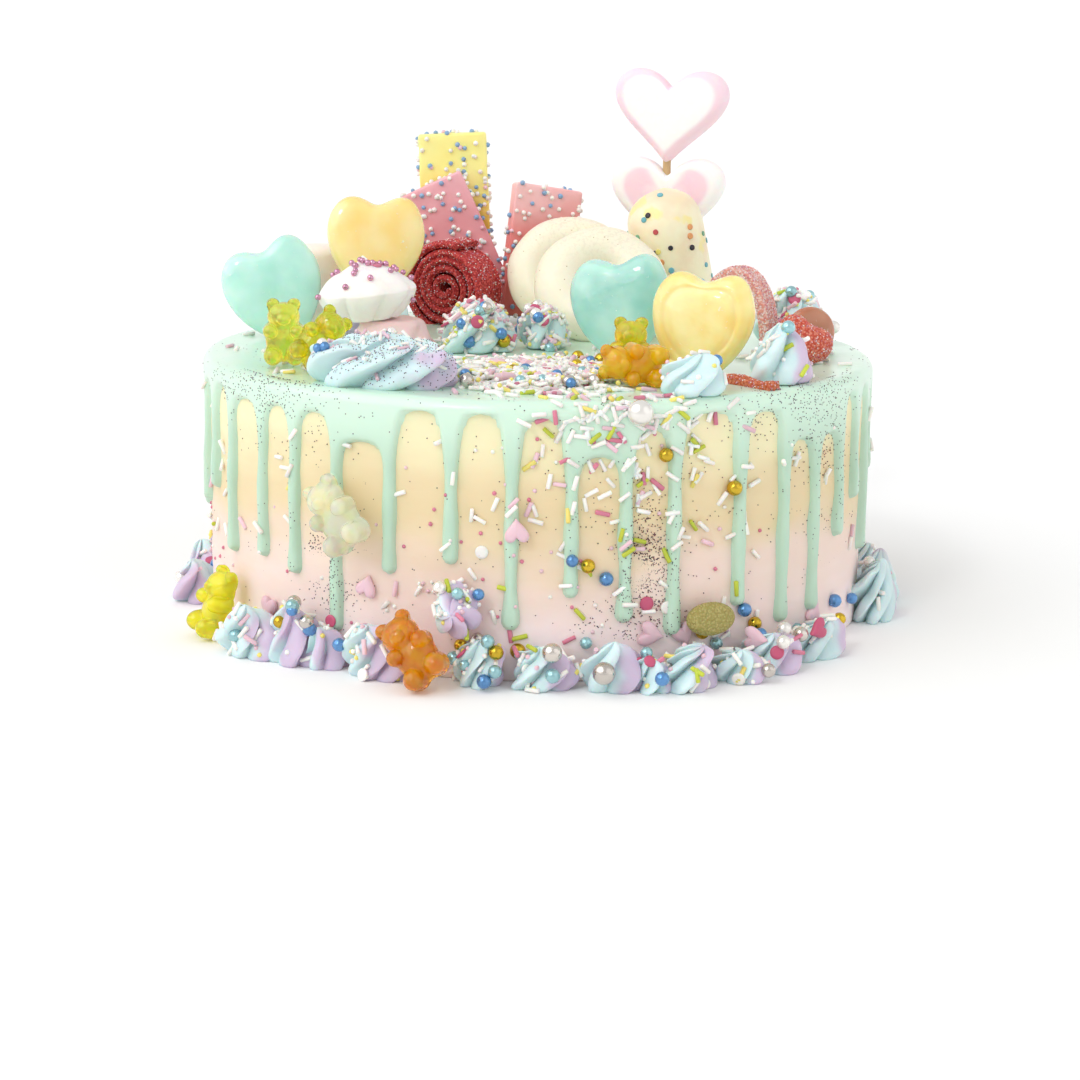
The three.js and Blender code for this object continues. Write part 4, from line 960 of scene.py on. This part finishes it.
SKEWER_R = 1.3 * MM
skewer_low, skewer_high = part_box("skewer")
skewer_z = np.linspace(skewer_low.z, skewer_high.z, 12)[:, None]
skewer_reach = SKEWER_R * np.where(skewer_z > skewer_high.z - MM, 0.6, 1)
skewer = spun(skewer_reach, turns(20), skewer_z) + box_centre("skewer") * (1, 1, 0)
birch = Paint("birch_skewer", Roughness=0.6)
grain = birch.noise(1.2 * MM, 4, (1, 1, 0.08))
birch.feed("Base Color", birch.mix(grain, (214, 184, 138), (186, 150, 102)))
birch.bump(birch.noise(0.6 * MM, 3, (1, 1, 0.06)), 0.1 * MM)
make_piece("wooden_skewer", *wrapped(skewer), birch, "wood", ["skewer"])

# The view is through a long lens a little above the cake. The sprinkles that show one by one are placed
# where its lines of sight meet the icing.
CAMERA = {"distance": 0.775, "elevation_deg": 13.59, "roll_deg": 0.78, "target": (0.0013, 0, 0.0179)}
LENS = 83.43
SENSOR = 36.0


def look_at(place, target, roll=0.0):
    """The turn of an object at a place that looks at a target along its own -Z, with its Y up, and a
    roll."""
    forward = target - place
    forward /= np.linalg.norm(forward)
    right = np.cross(forward, [0, 0, 1])
    right /= np.linalg.norm(right)
    above = np.cross(right, forward)
    x = right * np.cos(roll) + above * np.sin(roll)
    y = -right * np.sin(roll) + above * np.cos(roll)
    return np.stack([x, y, -forward], 1)


def put(made, place, target, roll=0.0):
    """Links an object into the scene at a place, looking at a target."""
    bpy.context.scene.collection.objects.link(made)
    made.matrix_world = Matrix.Translation(place) @ Matrix(look_at(place, np.array(target), roll)).to_4x4()
    return made


elevation = np.radians(CAMERA["elevation_deg"])
camera_place = CAMERA["distance"] * np.array([0, -np.cos(elevation), np.sin(elevation)])
lens = bpy.data.cameras.new("camera")
lens.lens = LENS
lens.sensor_width = SENSOR
lens.sensor_fit = "HORIZONTAL"
bpy.context.scene.camera = put(
    bpy.data.objects.new("camera", lens), camera_place, CAMERA["target"], np.radians(CAMERA["roll_deg"]))

# The sprinkles were thrown at the cake by hand and stuck to the soft icing and glaze: sugar rods with
# flat ends, sugar pearls and metal-coated pearls, flat discs, puffed hearts, hundreds-and-thousands and
# fine dark glitter. Each kind is one mesh, with its colours as an attribute.
SUGAR = {
    "white": (250, 246, 240), "silver": (216, 208, 200), "black": (40, 34, 44),
    "blush": (236, 200, 211), "pink": (216, 128, 152), "rose": (200, 88, 122),
    "mauve": (214, 158, 184), "plum": (70, 34, 58), "red": (200, 84, 88),
    "peach": (240, 176, 150), "orange": (238, 164, 104), "yellow": (246, 228, 124),
    "gold": (212, 178, 60), "lime": (196, 208, 66), "green": (118, 176, 140),
    "teal": (112, 182, 196), "turquoise": (160, 206, 212), "sky": (140, 176, 212),
    "blue": (92, 146, 202),
}
SKIN_BELOW = 0.15 * MM
FLOOR_GAP = 0.05 * MM
draw = np.random.default_rng(7)
laid = {}


def unit(vectors):
    """Vectors scaled to length one."""
    return vectors / np.maximum(np.linalg.norm(vectors, axis=-1, keepdims=True), 1e-12)


def on_skin(angle, along):
    """Spots and normals on the glaze or the cake. Along is measured up the side and is 0 where the rim
    starts to bend: then it goes round the rim as an arc, and on over the flat top towards the axis."""
    bend = np.clip(along / RIM_R, 0, np.pi / 2)
    inward = np.maximum(along - RIM_R * np.pi / 2, 0)
    level = GLAZE_TOP - RIM_R + np.minimum(along, 0)
    stand = np.where(along < 0, np.maximum(glaze_depth(angle, level), -SKIN_BELOW), RIM_OUT)
    radius = CAKE_R + stand - RIM_R * (1 - np.cos(bend)) - inward
    spot = round_axis(angle, radius, level + RIM_R * np.sin(bend))
    return spot, round_axis(angle, np.cos(bend), np.sin(bend))


def on_side(angle_deg, z_mm):
    """The same for angles in degrees and heights in mm."""
    return on_skin(np.radians(angle_deg), z_mm * MM - (GLAZE_TOP - RIM_R))


def on_top(x_mm, y_mm):
    """Spots and normals on the flat top."""
    spot = np.stack([x_mm * MM, y_mm * MM, np.full(np.shape(x_mm), GLAZE_TOP)], -1)
    return spot, np.broadcast_to([0.0, 0.0, 1.0], spot.shape)


def face_spots(skin):
    """Middle, normal and area of every triangle of a skin."""
    points, faces = skin
    a, b, c = points[faces].transpose(1, 0, 2)
    area = np.cross(b - a, c - a)
    return (a + b + c) / 3, unit(area), np.linalg.norm(area, axis=1)


def on_sweet(skin, count, weigh=None):
    """Spots and normals drawn on a skin, evenly by area unless a rule of spot and normal weighs the
    triangles. Each spot is a random blend of its triangle's corners."""
    spots, normals, weight = face_spots(skin)
    if weigh is not None:
        weight = weight * weigh(spots, normals)
    taken = draw.choice(len(spots), count, p=weight / weight.sum())
    share = draw.dirichlet((1, 1, 1), count)
    points, faces = skin
    return np.einsum("nk,nkd->nd", share, points[faces[taken]]), normals[taken]


def lay(kind, colours, spots, normals, lift=0.0, size=1.0, loose=0.0):
    """Adds sprinkles of one kind. Each takes one of the colours, has its middle above the skin by a lift
    in mm, and tips by a share."""
    spots, normals = np.atleast_2d(spots), np.atleast_2d(normals)
    count = len(spots)
    normals = unit(normals + loose * draw.normal(size=(count, 3)))
    names = draw.choice(list(colours), count) if len(colours) > 1 else [colours[0]] * count
    tint = np.array([linear(*SUGAR[name]) for name in names])
    tint[:, :3] *= draw.uniform(0.86, 1.06, (count, 1))
    sizes = size * draw.uniform(0.88, 1.1, count)
    laid.setdefault(kind, []).append((spots + normals * (lift * MM), normals, tint, sizes))


def copies(shape, spots, normals, sizes):
    """A shape repeated at every spot, with its Z along the normal there and a seeded turn about it. None
    of them goes below the floor."""
    points, faces = shape
    helper = np.where(np.abs(normals[:, 2:]) < 0.9, [[0.0, 0.0, 1.0]], [[1.0, 0.0, 0.0]])
    level = unit(np.cross(helper, normals))
    across = np.cross(normals, level)
    spin = draw.uniform(0, 2 * np.pi, (len(spots), 1))
    x = level * np.cos(spin) + across * np.sin(spin)
    y = np.cross(normals, x)
    axes = np.stack([x, y, normals], 1) * sizes[:, None, None]
    placed = np.einsum("pk,nkd->npd", points, axes) + spots[:, None]
    placed[..., 2] += np.maximum(FLOOR_GAP - placed[..., 2].min(1, keepdims=True), 0)
    all_faces = faces[None] + np.arange(len(spots))[:, None, None] * len(points)
    return placed.reshape(-1, 3), all_faces.reshape(-1, 3)


def ball_shape(radius, around, down):
    """A ball as rings from its lowest to its highest point."""
    tip = np.linspace(-np.pi / 2 + 0.05, np.pi / 2 - 0.05, down)[:, None]
    return wrapped(spun(radius * np.cos(tip), turns(around), radius * np.sin(tip)))


def rod_shape(length, radius, sides):
    """A rod along X with flat ends and narrow bevels."""
    x = np.array([-1, -1, -0.93, 0.93, 1, 1])[:, None] * length / 2
    reach = np.array([0.45, 0.8, 1, 1, 0.8, 0.45])[:, None] * radius
    angle = turns(sides)
    return wrapped(grid(x, reach * np.cos(angle), reach * np.sin(angle)))


def prism_shape(radius, thick, sides):
    """A straight prism that lies flat, with a section of equal sides."""
    return wrapped(spun(radius, turns(sides), np.array([-0.5, 0.5])[:, None] * thick))


def disc_shape(radius, thick, sides):
    """A flat disc with a rounded edge."""
    reach = np.array([0.55, 0.93, 1, 0.93, 0.55])[:, None] * radius
    z = np.array([-0.5, -0.45, 0, 0.45, 0.5])[:, None] * thick
    return wrapped(spun(reach, turns(sides), z))


def heart_shape(width, thick):
    """A puffed heart lying in X and Y, with its middle at the origin."""
    rings = heart_rings(width, width, thick, NOTCHED, edge=3.5, points=36, rows=9, oval=0)
    return wrapped(grid(rings[..., 0], rings[..., 2] - width * HEART_MIDDLE, -rings[..., 1]))


SHAPES = {
    "rods": rod_shape(4.0 * MM, 0.63 * MM, 7),
    "fine_rods": rod_shape(3.6 * MM, 0.5 * MM, 6),
    "discs": disc_shape(1.9 * MM, 0.8 * MM, 18),
    "hearts": heart_shape(6.6 * MM, 2.6 * MM),
    "pearls": ball_shape(1.9 * MM, 16, 10),
    "metal_pearls": ball_shape(2.1 * MM, 18, 11),
    "nonpareils": ball_shape(0.75 * MM, 8, 5),
    "glitter": prism_shape(0.18 * MM, 0.12 * MM, 5),
    "confetti": disc_shape(0.95 * MM, 0.5 * MM, 10),
    "sugar_grains": prism_shape(0.25 * MM, 0.34 * MM, 4),
}
ROD_COLOURS = ["white"] * 22 + ["blush"] * 3 + ["pink", "lime", "yellow", "yellow"]
SIDE_COLOURS = ["white"] * 12 + ["lime", "blush", "blush", "pink", "yellow"]
BALL_COLOURS = ["blush", "pink", "white"]

# Sprinkles on the side are thickest under the drift at the front right and thin out downwards and
# sideways. A second, smaller fall is at the back. Angles are in degrees from the front, and heights in
# mm.
FALL_COUNT = 120
FALL_ANGLE = 17
FALL_TOP = 77
RIM_COUNT = 56
STRAY_COUNT = 38
BALL_COUNT = 70
BACK_COUNT = 90
BACK_EXTRAS = [
    ("hearts", ["blush"], 0.9),
    ("pearls", ["blue", "white"], 1.2),
    ("metal_pearls", ["gold"], 1.4),
]
fall = 4 + np.abs(draw.normal(0, 27, FALL_COUNT))
fall_angles = FALL_ANGLE + draw.normal(0, 11, FALL_COUNT) * (0.75 + fall / 90)
lay("rods", SIDE_COLOURS, *on_side(fall_angles, np.maximum(FALL_TOP - fall, 14)), lift=0.35, loose=0.22)
rim_angles = 12 + draw.normal(0, 8.5, RIM_COUNT)
rim_spots = on_skin(np.radians(rim_angles), draw.uniform(-2, 9, RIM_COUNT) * MM)
lay("rods", ROD_COLOURS, *rim_spots, lift=0.4, loose=0.3)
stray_spots = on_side(draw.uniform(-60, 70, STRAY_COUNT), draw.uniform(14, 66, STRAY_COUNT))
lay("rods", SIDE_COLOURS, *stray_spots, lift=0.35, loose=0.2)
ball_spots = on_side(draw.normal(4, 24, BALL_COUNT), draw.uniform(12, 70, BALL_COUNT))
lay("nonpareils", BALL_COLOURS, *ball_spots, size=0.8)
all_round, back_fall = draw.uniform(74, 296, BACK_COUNT), draw.normal(205, 16, BACK_COUNT)
lay("rods", SIDE_COLOURS, *on_side(all_round, draw.uniform(14, 70, BACK_COUNT)), lift=0.35, loose=0.2)
lay("rods", SIDE_COLOURS, *on_side(back_fall, draw.uniform(18, 76, BACK_COUNT)), lift=0.35, loose=0.2)
lay("nonpareils", BALL_COLOURS, *on_side(all_round + 3, draw.uniform(12, 70, BACK_COUNT)), size=0.8)
for kind, colours, lift in BACK_EXTRAS:
    lay(kind, colours, *on_side(draw.uniform(105, 262, 7), draw.uniform(16, 60, 7)), lift=lift)

# The sprinkles that show one by one. A row has their kind, colour and size, and the angle and height of
# the cake's side behind each of them.
SIGHT_WIDTH = 1.6 * MM
LIFT = {"hearts": 0.9, "discs": 0.2, "pearls": 1.2, "metal_pearls": 1.4, "rods": 0.4}
SET_DOWN = [
    ("hearts", "blush", 1.0, [
        (-27.5, 23.5), (-49, 11.6), (18.4, 12.7), (31, 13.8), (24, 12.2), (52.8, 11), (-2.9, 42.1),
        (37.4, 7.8)]),
    ("hearts", "rose", 1.0, [(56, 6)]),
    ("discs", "rose", 1.0, [(-33.7, 12.7), (17.8, 21.2), (19.3, 5.8), (43.5, 3.4)]),
    ("discs", "white", 1.0, [(21, 19.9), (35.1, -6.4), (-8.4, 35.7)]),
    ("pearls", "blue", 1.0, [
        (-42.3, 13.5), (-8.5, 24.1), (-8.4, -0.8), (21.6, -0.6), (35.4, 16.7), (68.9, 9.4), (60, 12),
        (5.5, 34.5), (11, 28.8)]),
    ("pearls", "turquoise", 1.0, [
        (-43.7, 14.5), (-6.3, 2.8), (8, 11.2), (2.2, 2.2), (30, 8.4), (-7.4, 11.9)]),
    ("metal_pearls", "gold", 0.95, [
        (-6.5, 7.4), (27.3, 12), (37.6, 12.3), (8.1, 32.5), (20.2, 62.1), (32.6, 51.5)]),
    ("metal_pearls", "silver", 1.05, [(-39.2, 10.6), (50, 6)]),
    ("metal_pearls", "silver", 1.45, [(2.5, 9), (10.8, 3)]),
    ("pearls", "white", 1.0, [(46, 5), (45.4, 8.8)]),
    ("pearls", "white", 1.75, [(15.4, 74)]),
    ("rods", "lime", 1.1, [(7, 19), (-2.3, 12.5), (-0.8, 10.6), (26.7, 1.8), (27, -0.5), (-4.7, 26.1)]),
    ("rods", "pink", 1.0, [(-3.8, 13.1), (-3.5, 7.6), (5.4, 11.9)]),
    ("rods", "yellow", 1.0, [(37.8, 12.4), (34.7, -1.9)]),
    ("rods", "white", 1.0, [
        (30.5, 11), (31.5, 9.5), (29.5, 12.5), (32.5, 11.5), (38.5, 10), (33.6, 3), (48, 4), (49, 8)]),
]
low_icing = [skin for name, skin in icing_skins.items() if "border" in name or "side" in name]
border_parts = [face_spots(skin) for skin in low_icing]
border_middles = np.concatenate([part[0] for part in border_parts])
border_normals = np.concatenate([part[1] for part in border_parts])


def seen_spot(angle_deg, z_mm):
    """The spot and normal that the camera sees at an angle and height of the cake's side: the nearest
    piped icing that faces the camera close to the line of sight, or else the glaze or the cake."""
    skin_spot, skin_normal = on_side(np.array([float(angle_deg)]), np.array([float(z_mm)]))
    sight = skin_spot[0] - camera_place
    way = unit(sight)
    offset = border_middles - camera_place
    depth = offset @ way
    aside = np.linalg.norm(offset - depth[:, None] * way, axis=1)
    near = (aside < SIGHT_WIDTH) & (border_normals @ way < -0.15) & (depth < np.linalg.norm(sight) + MM)
    if not near.any():
        return skin_spot, skin_normal
    chosen = np.argmin(np.where(near, depth, np.inf))
    return border_middles[chosen][None], border_normals[chosen][None]


for kind, colour, size, places in SET_DOWN:
    for place in places:
        lay(kind, [colour], *seen_spot(*place), lift=LIFT[kind] * size, size=size)

# Sprinkles also lie on the upper side of every swirl. They are crowded on three of the swirls on top.
CROWDED = ("icing_rosette_middle_left", "icing_rosette_middle_right", "icing_rosette_back_right")
SWIRL_RODS = {"icing_border_01": 3, "icing_border_02": 44, "icing_border_09": 3}


def upper_side(spots, normals):
    """Weighs spots that face up and outwards, as things thrown from above and in front land there."""
    return np.clip(normals[:, 2] + 0.25, 0, 1) ** 1.5


def top_side(spots, normals):
    """Weighs spots that face nearly straight up."""
    return np.clip(normals[:, 2], 0, 1) ** 6


for name, skin in icing_skins.items():
    border = "border" in name
    crowded = name in CROWDED
    if "front_left" in name:
        lay("fine_rods", ["white", "white", "blush"], *on_sweet(skin, 60, top_side), lift=0.3, loose=0.4)
        lay("pearls", ["peach", "white", "blue"], *on_sweet(skin, 4, top_side), lift=1.0, size=0.8)
        continue
    count = SWIRL_RODS.get(name, 30 if "border_back" in name else 90 if crowded else 16)
    lay("rods", ROD_COLOURS, *on_sweet(skin, count, upper_side), lift=0.35, loose=0.35)
    lay("nonpareils", ["white", "blush", "yellow"], *on_sweet(skin, count, upper_side))
    pearls = on_sweet(skin, 9 if crowded else 2, upper_side)
    lay("pearls", ["blue", "turquoise", "white"], *pearls, lift=1.0)
    if count > 3 and (border or crowded):
        lay("metal_pearls", ["gold", "silver"], *on_sweet(skin, 2, upper_side), lift=1.1, size=0.95)
        discs = on_sweet(skin, 7 if crowded else 2, upper_side)
        lay("discs", ["rose", "blush", "white"], *discs, lift=0.2, loose=0.2)

# A drift of rods and pearls lies two or three deep on the front of the top, and thins out round it. Its
# places are in mm.
DRIFT = {"x": 2, "y": -56, "half_x": 33, "half_y": 29}
DRIFT_RODS = 620
DRIFT_LAYER = 1.15
DRIFT_EXTRAS = [
    ("pearls", ["blue", "turquoise", "white"], 26, 2.1),
    ("metal_pearls", ["gold", "silver"], 12, 2.2),
    ("discs", ["rose", "blush", "white", "white"], 12, 2.6),
    ("hearts", ["blush"], 5, 2.6),
    ("nonpareils", ["white", "white", "yellow"], 160, 2.4),
]
TOP_REACH = 94
TOP_STRAYS = 260


def in_drift(count, spread=1.0):
    """Places in mm in the drift's oval, even by area but thinning at its edge, and clear of what stands
    there."""
    angle = draw.uniform(0, 2 * np.pi, count)
    out = np.sqrt(draw.uniform(0, 1, count)) * (1 + 0.12 * draw.normal(size=count)) * spread
    x = DRIFT["x"] + DRIFT["half_x"] * out * np.cos(angle)
    y = DRIFT["y"] + DRIFT["half_y"] * out * np.sin(angle)
    keep = np.hypot(x, y) < TOP_REACH
    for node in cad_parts:
        low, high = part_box(node)
        if node not in ("cake", "drip_glaze") and low.z < GLAZE_TOP + 4 * MM and high.z > GLAZE_TOP:
            keep &= ~((x * MM > low.x) & (x * MM < high.x) & (y * MM > low.y) & (y * MM < high.y))
    return x[keep], y[keep]


for layer in range(3):
    x, y = in_drift(DRIFT_RODS // (layer + 1), 1.05 - 0.17 * layer)
    lay("rods", ROD_COLOURS, *on_top(x, y), lift=0.5 + DRIFT_LAYER * layer, loose=0.16 + 0.05 * layer)
for kind, colours, count, lift in DRIFT_EXTRAS:
    lay(kind, colours, *on_top(*in_drift(count)), lift=lift, loose=0.15, size=0.9)
angle = draw.uniform(0, 2 * np.pi, TOP_STRAYS)
reach = TOP_REACH * np.sqrt(draw.uniform(0.03, 1, TOP_STRAYS))
lay("rods", ROD_COLOURS, *on_top(reach * np.sin(angle), -reach * np.cos(angle)), lift=0.5, loose=0.1)

# Fine dark glitter was blown over the rim and side in patches, and lies thinly along the rim. A row has
# its angle and height, how far it spreads across and upwards, and its count.
GLITTER = [
    (17.5, 34, 1.8, 7, 300), (18, 27, 3, 11, 420), (12, 15, 5, 5, 110), (-34, 28, 3.2, 10, 460),
    (16, 52, 12, 14, 160), (46, 72, 9, 5, 320), (57, 56, 6, 16, 460), (-52, 72, 10, 6, 420),
    (-44, 50, 8, 16, 160), (5, 45, 40, 22, 220), (112, 60, 16, 14, 380), (168, 34, 7, 12, 380),
    (214, 62, 20, 14, 420), (262, 40, 9, 16, 320),
]
RIM_GLITTER = 500
ROSETTE_GLITTER = 1300
for angle_deg, z_mm, across, upright, count in GLITTER:
    z = np.clip(draw.normal(z_mm, upright, count), 8, 80)
    lay("glitter", ["plum"], *on_side(draw.normal(angle_deg, across, count), z), loose=0.3)
glittered = icing_skins["icing_rosette_front_left"]
lay("glitter", ["plum"], *on_sweet(glittered, ROSETTE_GLITTER, upper_side), loose=0.3)
angle = draw.uniform(0, 2 * np.pi, RIM_GLITTER)
lay("glitter", ["plum"], *on_skin(angle, draw.uniform(2, 26, RIM_GLITTER) * MM), loose=0.3)

# The slabs, the stick, the sour sweets and the white kiss carry their own sugar: hundreds-and-thousands,
# confetti, coarse grains, and small pearls round the kiss's peak.
SLAB_BALLS = [("slab_pink_left", 250), ("slab_yellow", 300), ("slab_pink_right", 200)]
SLAB_COLOURS = ["white"] * 6 + ["sky"] * 3 + ["blush"]
STICK_COLOURS = ["teal"] * 4 + ["black", "black", "orange", "red", "green", "yellow"]
GRAINS = [("sour_roll", 3600), ("sour_arch", 1800), ("sugared_berry", 460), ("sour_strip", 300)]
for node, count in SLAB_BALLS:
    lay("nonpareils", SLAB_COLOURS, *on_sweet(sweet_skins[node], count), lift=0.3, size=1.1)
lay("confetti", STICK_COLOURS, *on_sweet(sweet_skins["confetti_stick"], 74), lift=0.1)
for node, count in GRAINS:
    grain_spots = on_sweet(sweet_skins[node], count)
    lay("sugar_grains", ["white", "blush", "pink"], *grain_spots, lift=0.05, loose=0.5, size=0.8)
kiss_skin = sweet_skins["meringue_white"]
kiss_low, kiss_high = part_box("meringue_white")


def near_peak(spots, normals):
    """Weighs spots by the cube of their height on the kiss."""
    return np.clip((spots[:, 2] - kiss_low.z) / (kiss_high.z - kiss_low.z), 0, 1) ** 3


lay("metal_pearls", ["mauve"], *on_sweet(kiss_skin, 26, near_peak), lift=0.6, size=0.43)
lay("discs", ["pink"], *on_sweet(kiss_skin, 2, near_peak), lift=0.3, size=0.9)

# All the sprinkles of a kind become one mesh. Plain sugar is satin, the pearls have a sheen, and the
# metal-coated ones shine like metal.
sugar = tinted_paint("sugar_sprinkles", 0.5, 3, 0.04,
                     Roughness=0.45, Subsurface_Weight=0.25, Subsurface_Scale=0.001)
FINISH = {
    "pearls": tinted_paint("pearl_shine", 1.2, 2, 0.03, Roughness=0.2, Metallic=0.6, Coat_Weight=0.6),
    "metal_pearls": tinted_paint("metal_coated_pearls", 1.1, 3, 0.06, Roughness=0.22, Metallic=1.0),
}
for kind, parts in laid.items():
    spots, normals, tint, sizes = (np.concatenate(column) for column in zip(*parts))
    points, faces = copies(SHAPES[kind], spots, normals, sizes)
    tint = np.repeat(tint, len(SHAPES[kind][0]), 0)
    paint = FINISH.get(kind, sugar)
    make_piece(f"sprinkle_{kind}", points, faces, paint, "glaze", (), tint)

# The light is a bright studio: a wide window and a small lamp on the left, a weaker window on the right,
# and white all round. Each row has a light's place, strength and softness in degrees. The plain pale
# floor ends at walls on all sides.
LIGHTS = {
    "window_left": ((-0.82, -0.38, 0.72), 1.4, 70),
    "window_right": ((0.8, -0.5, 0.5), 0.36, 60),
    "lamp_left": ((-0.5, -0.8, 0.8), 0.3, 9),
}
AROUND = 0.72
FLOOR_HALF = 40.0
WALL_H = 12.0
for name, (place, strength, softness_deg) in LIGHTS.items():
    lamp = bpy.data.lights.new(name, "SUN")
    lamp.angle = np.radians(softness_deg)
    lamp.energy = strength
    put(bpy.data.objects.new(name, lamp), np.array(place), (0, 0, 0))

world = bpy.data.worlds.new("studio")
world.use_nodes = True
world.node_tree.nodes["Background"].inputs["Color"].default_value = (1, 1, 1, 1)
world.node_tree.nodes["Background"].inputs["Strength"].default_value = AROUND
bpy.context.scene.world = world
bpy.context.scene.view_settings.view_transform = "Standard"

floor_paint = Paint("pale_floor", Roughness=0.9, Base_Color=linear(250, 250, 250))
plan = [(-1, -1), (1, -1), (1, 1), (-1, 1)]
corners = [(x * FLOOR_HALF, y * FLOOR_HALF, z) for z in (0, WALL_H) for x, y in plan]
walls = [(k, (k + 1) % 4, (k + 1) % 4 + 4, k + 4) for k in range(4)]
floor_mesh = bpy.data.meshes.new("floor")
floor_mesh.from_pydata(corners, [], [(0, 1, 2, 3)] + walls)
floor_mesh.materials.append(floor_paint.material)
floor = bpy.data.objects.new("floor", floor_mesh)
bpy.context.scene.collection.objects.link(floor)
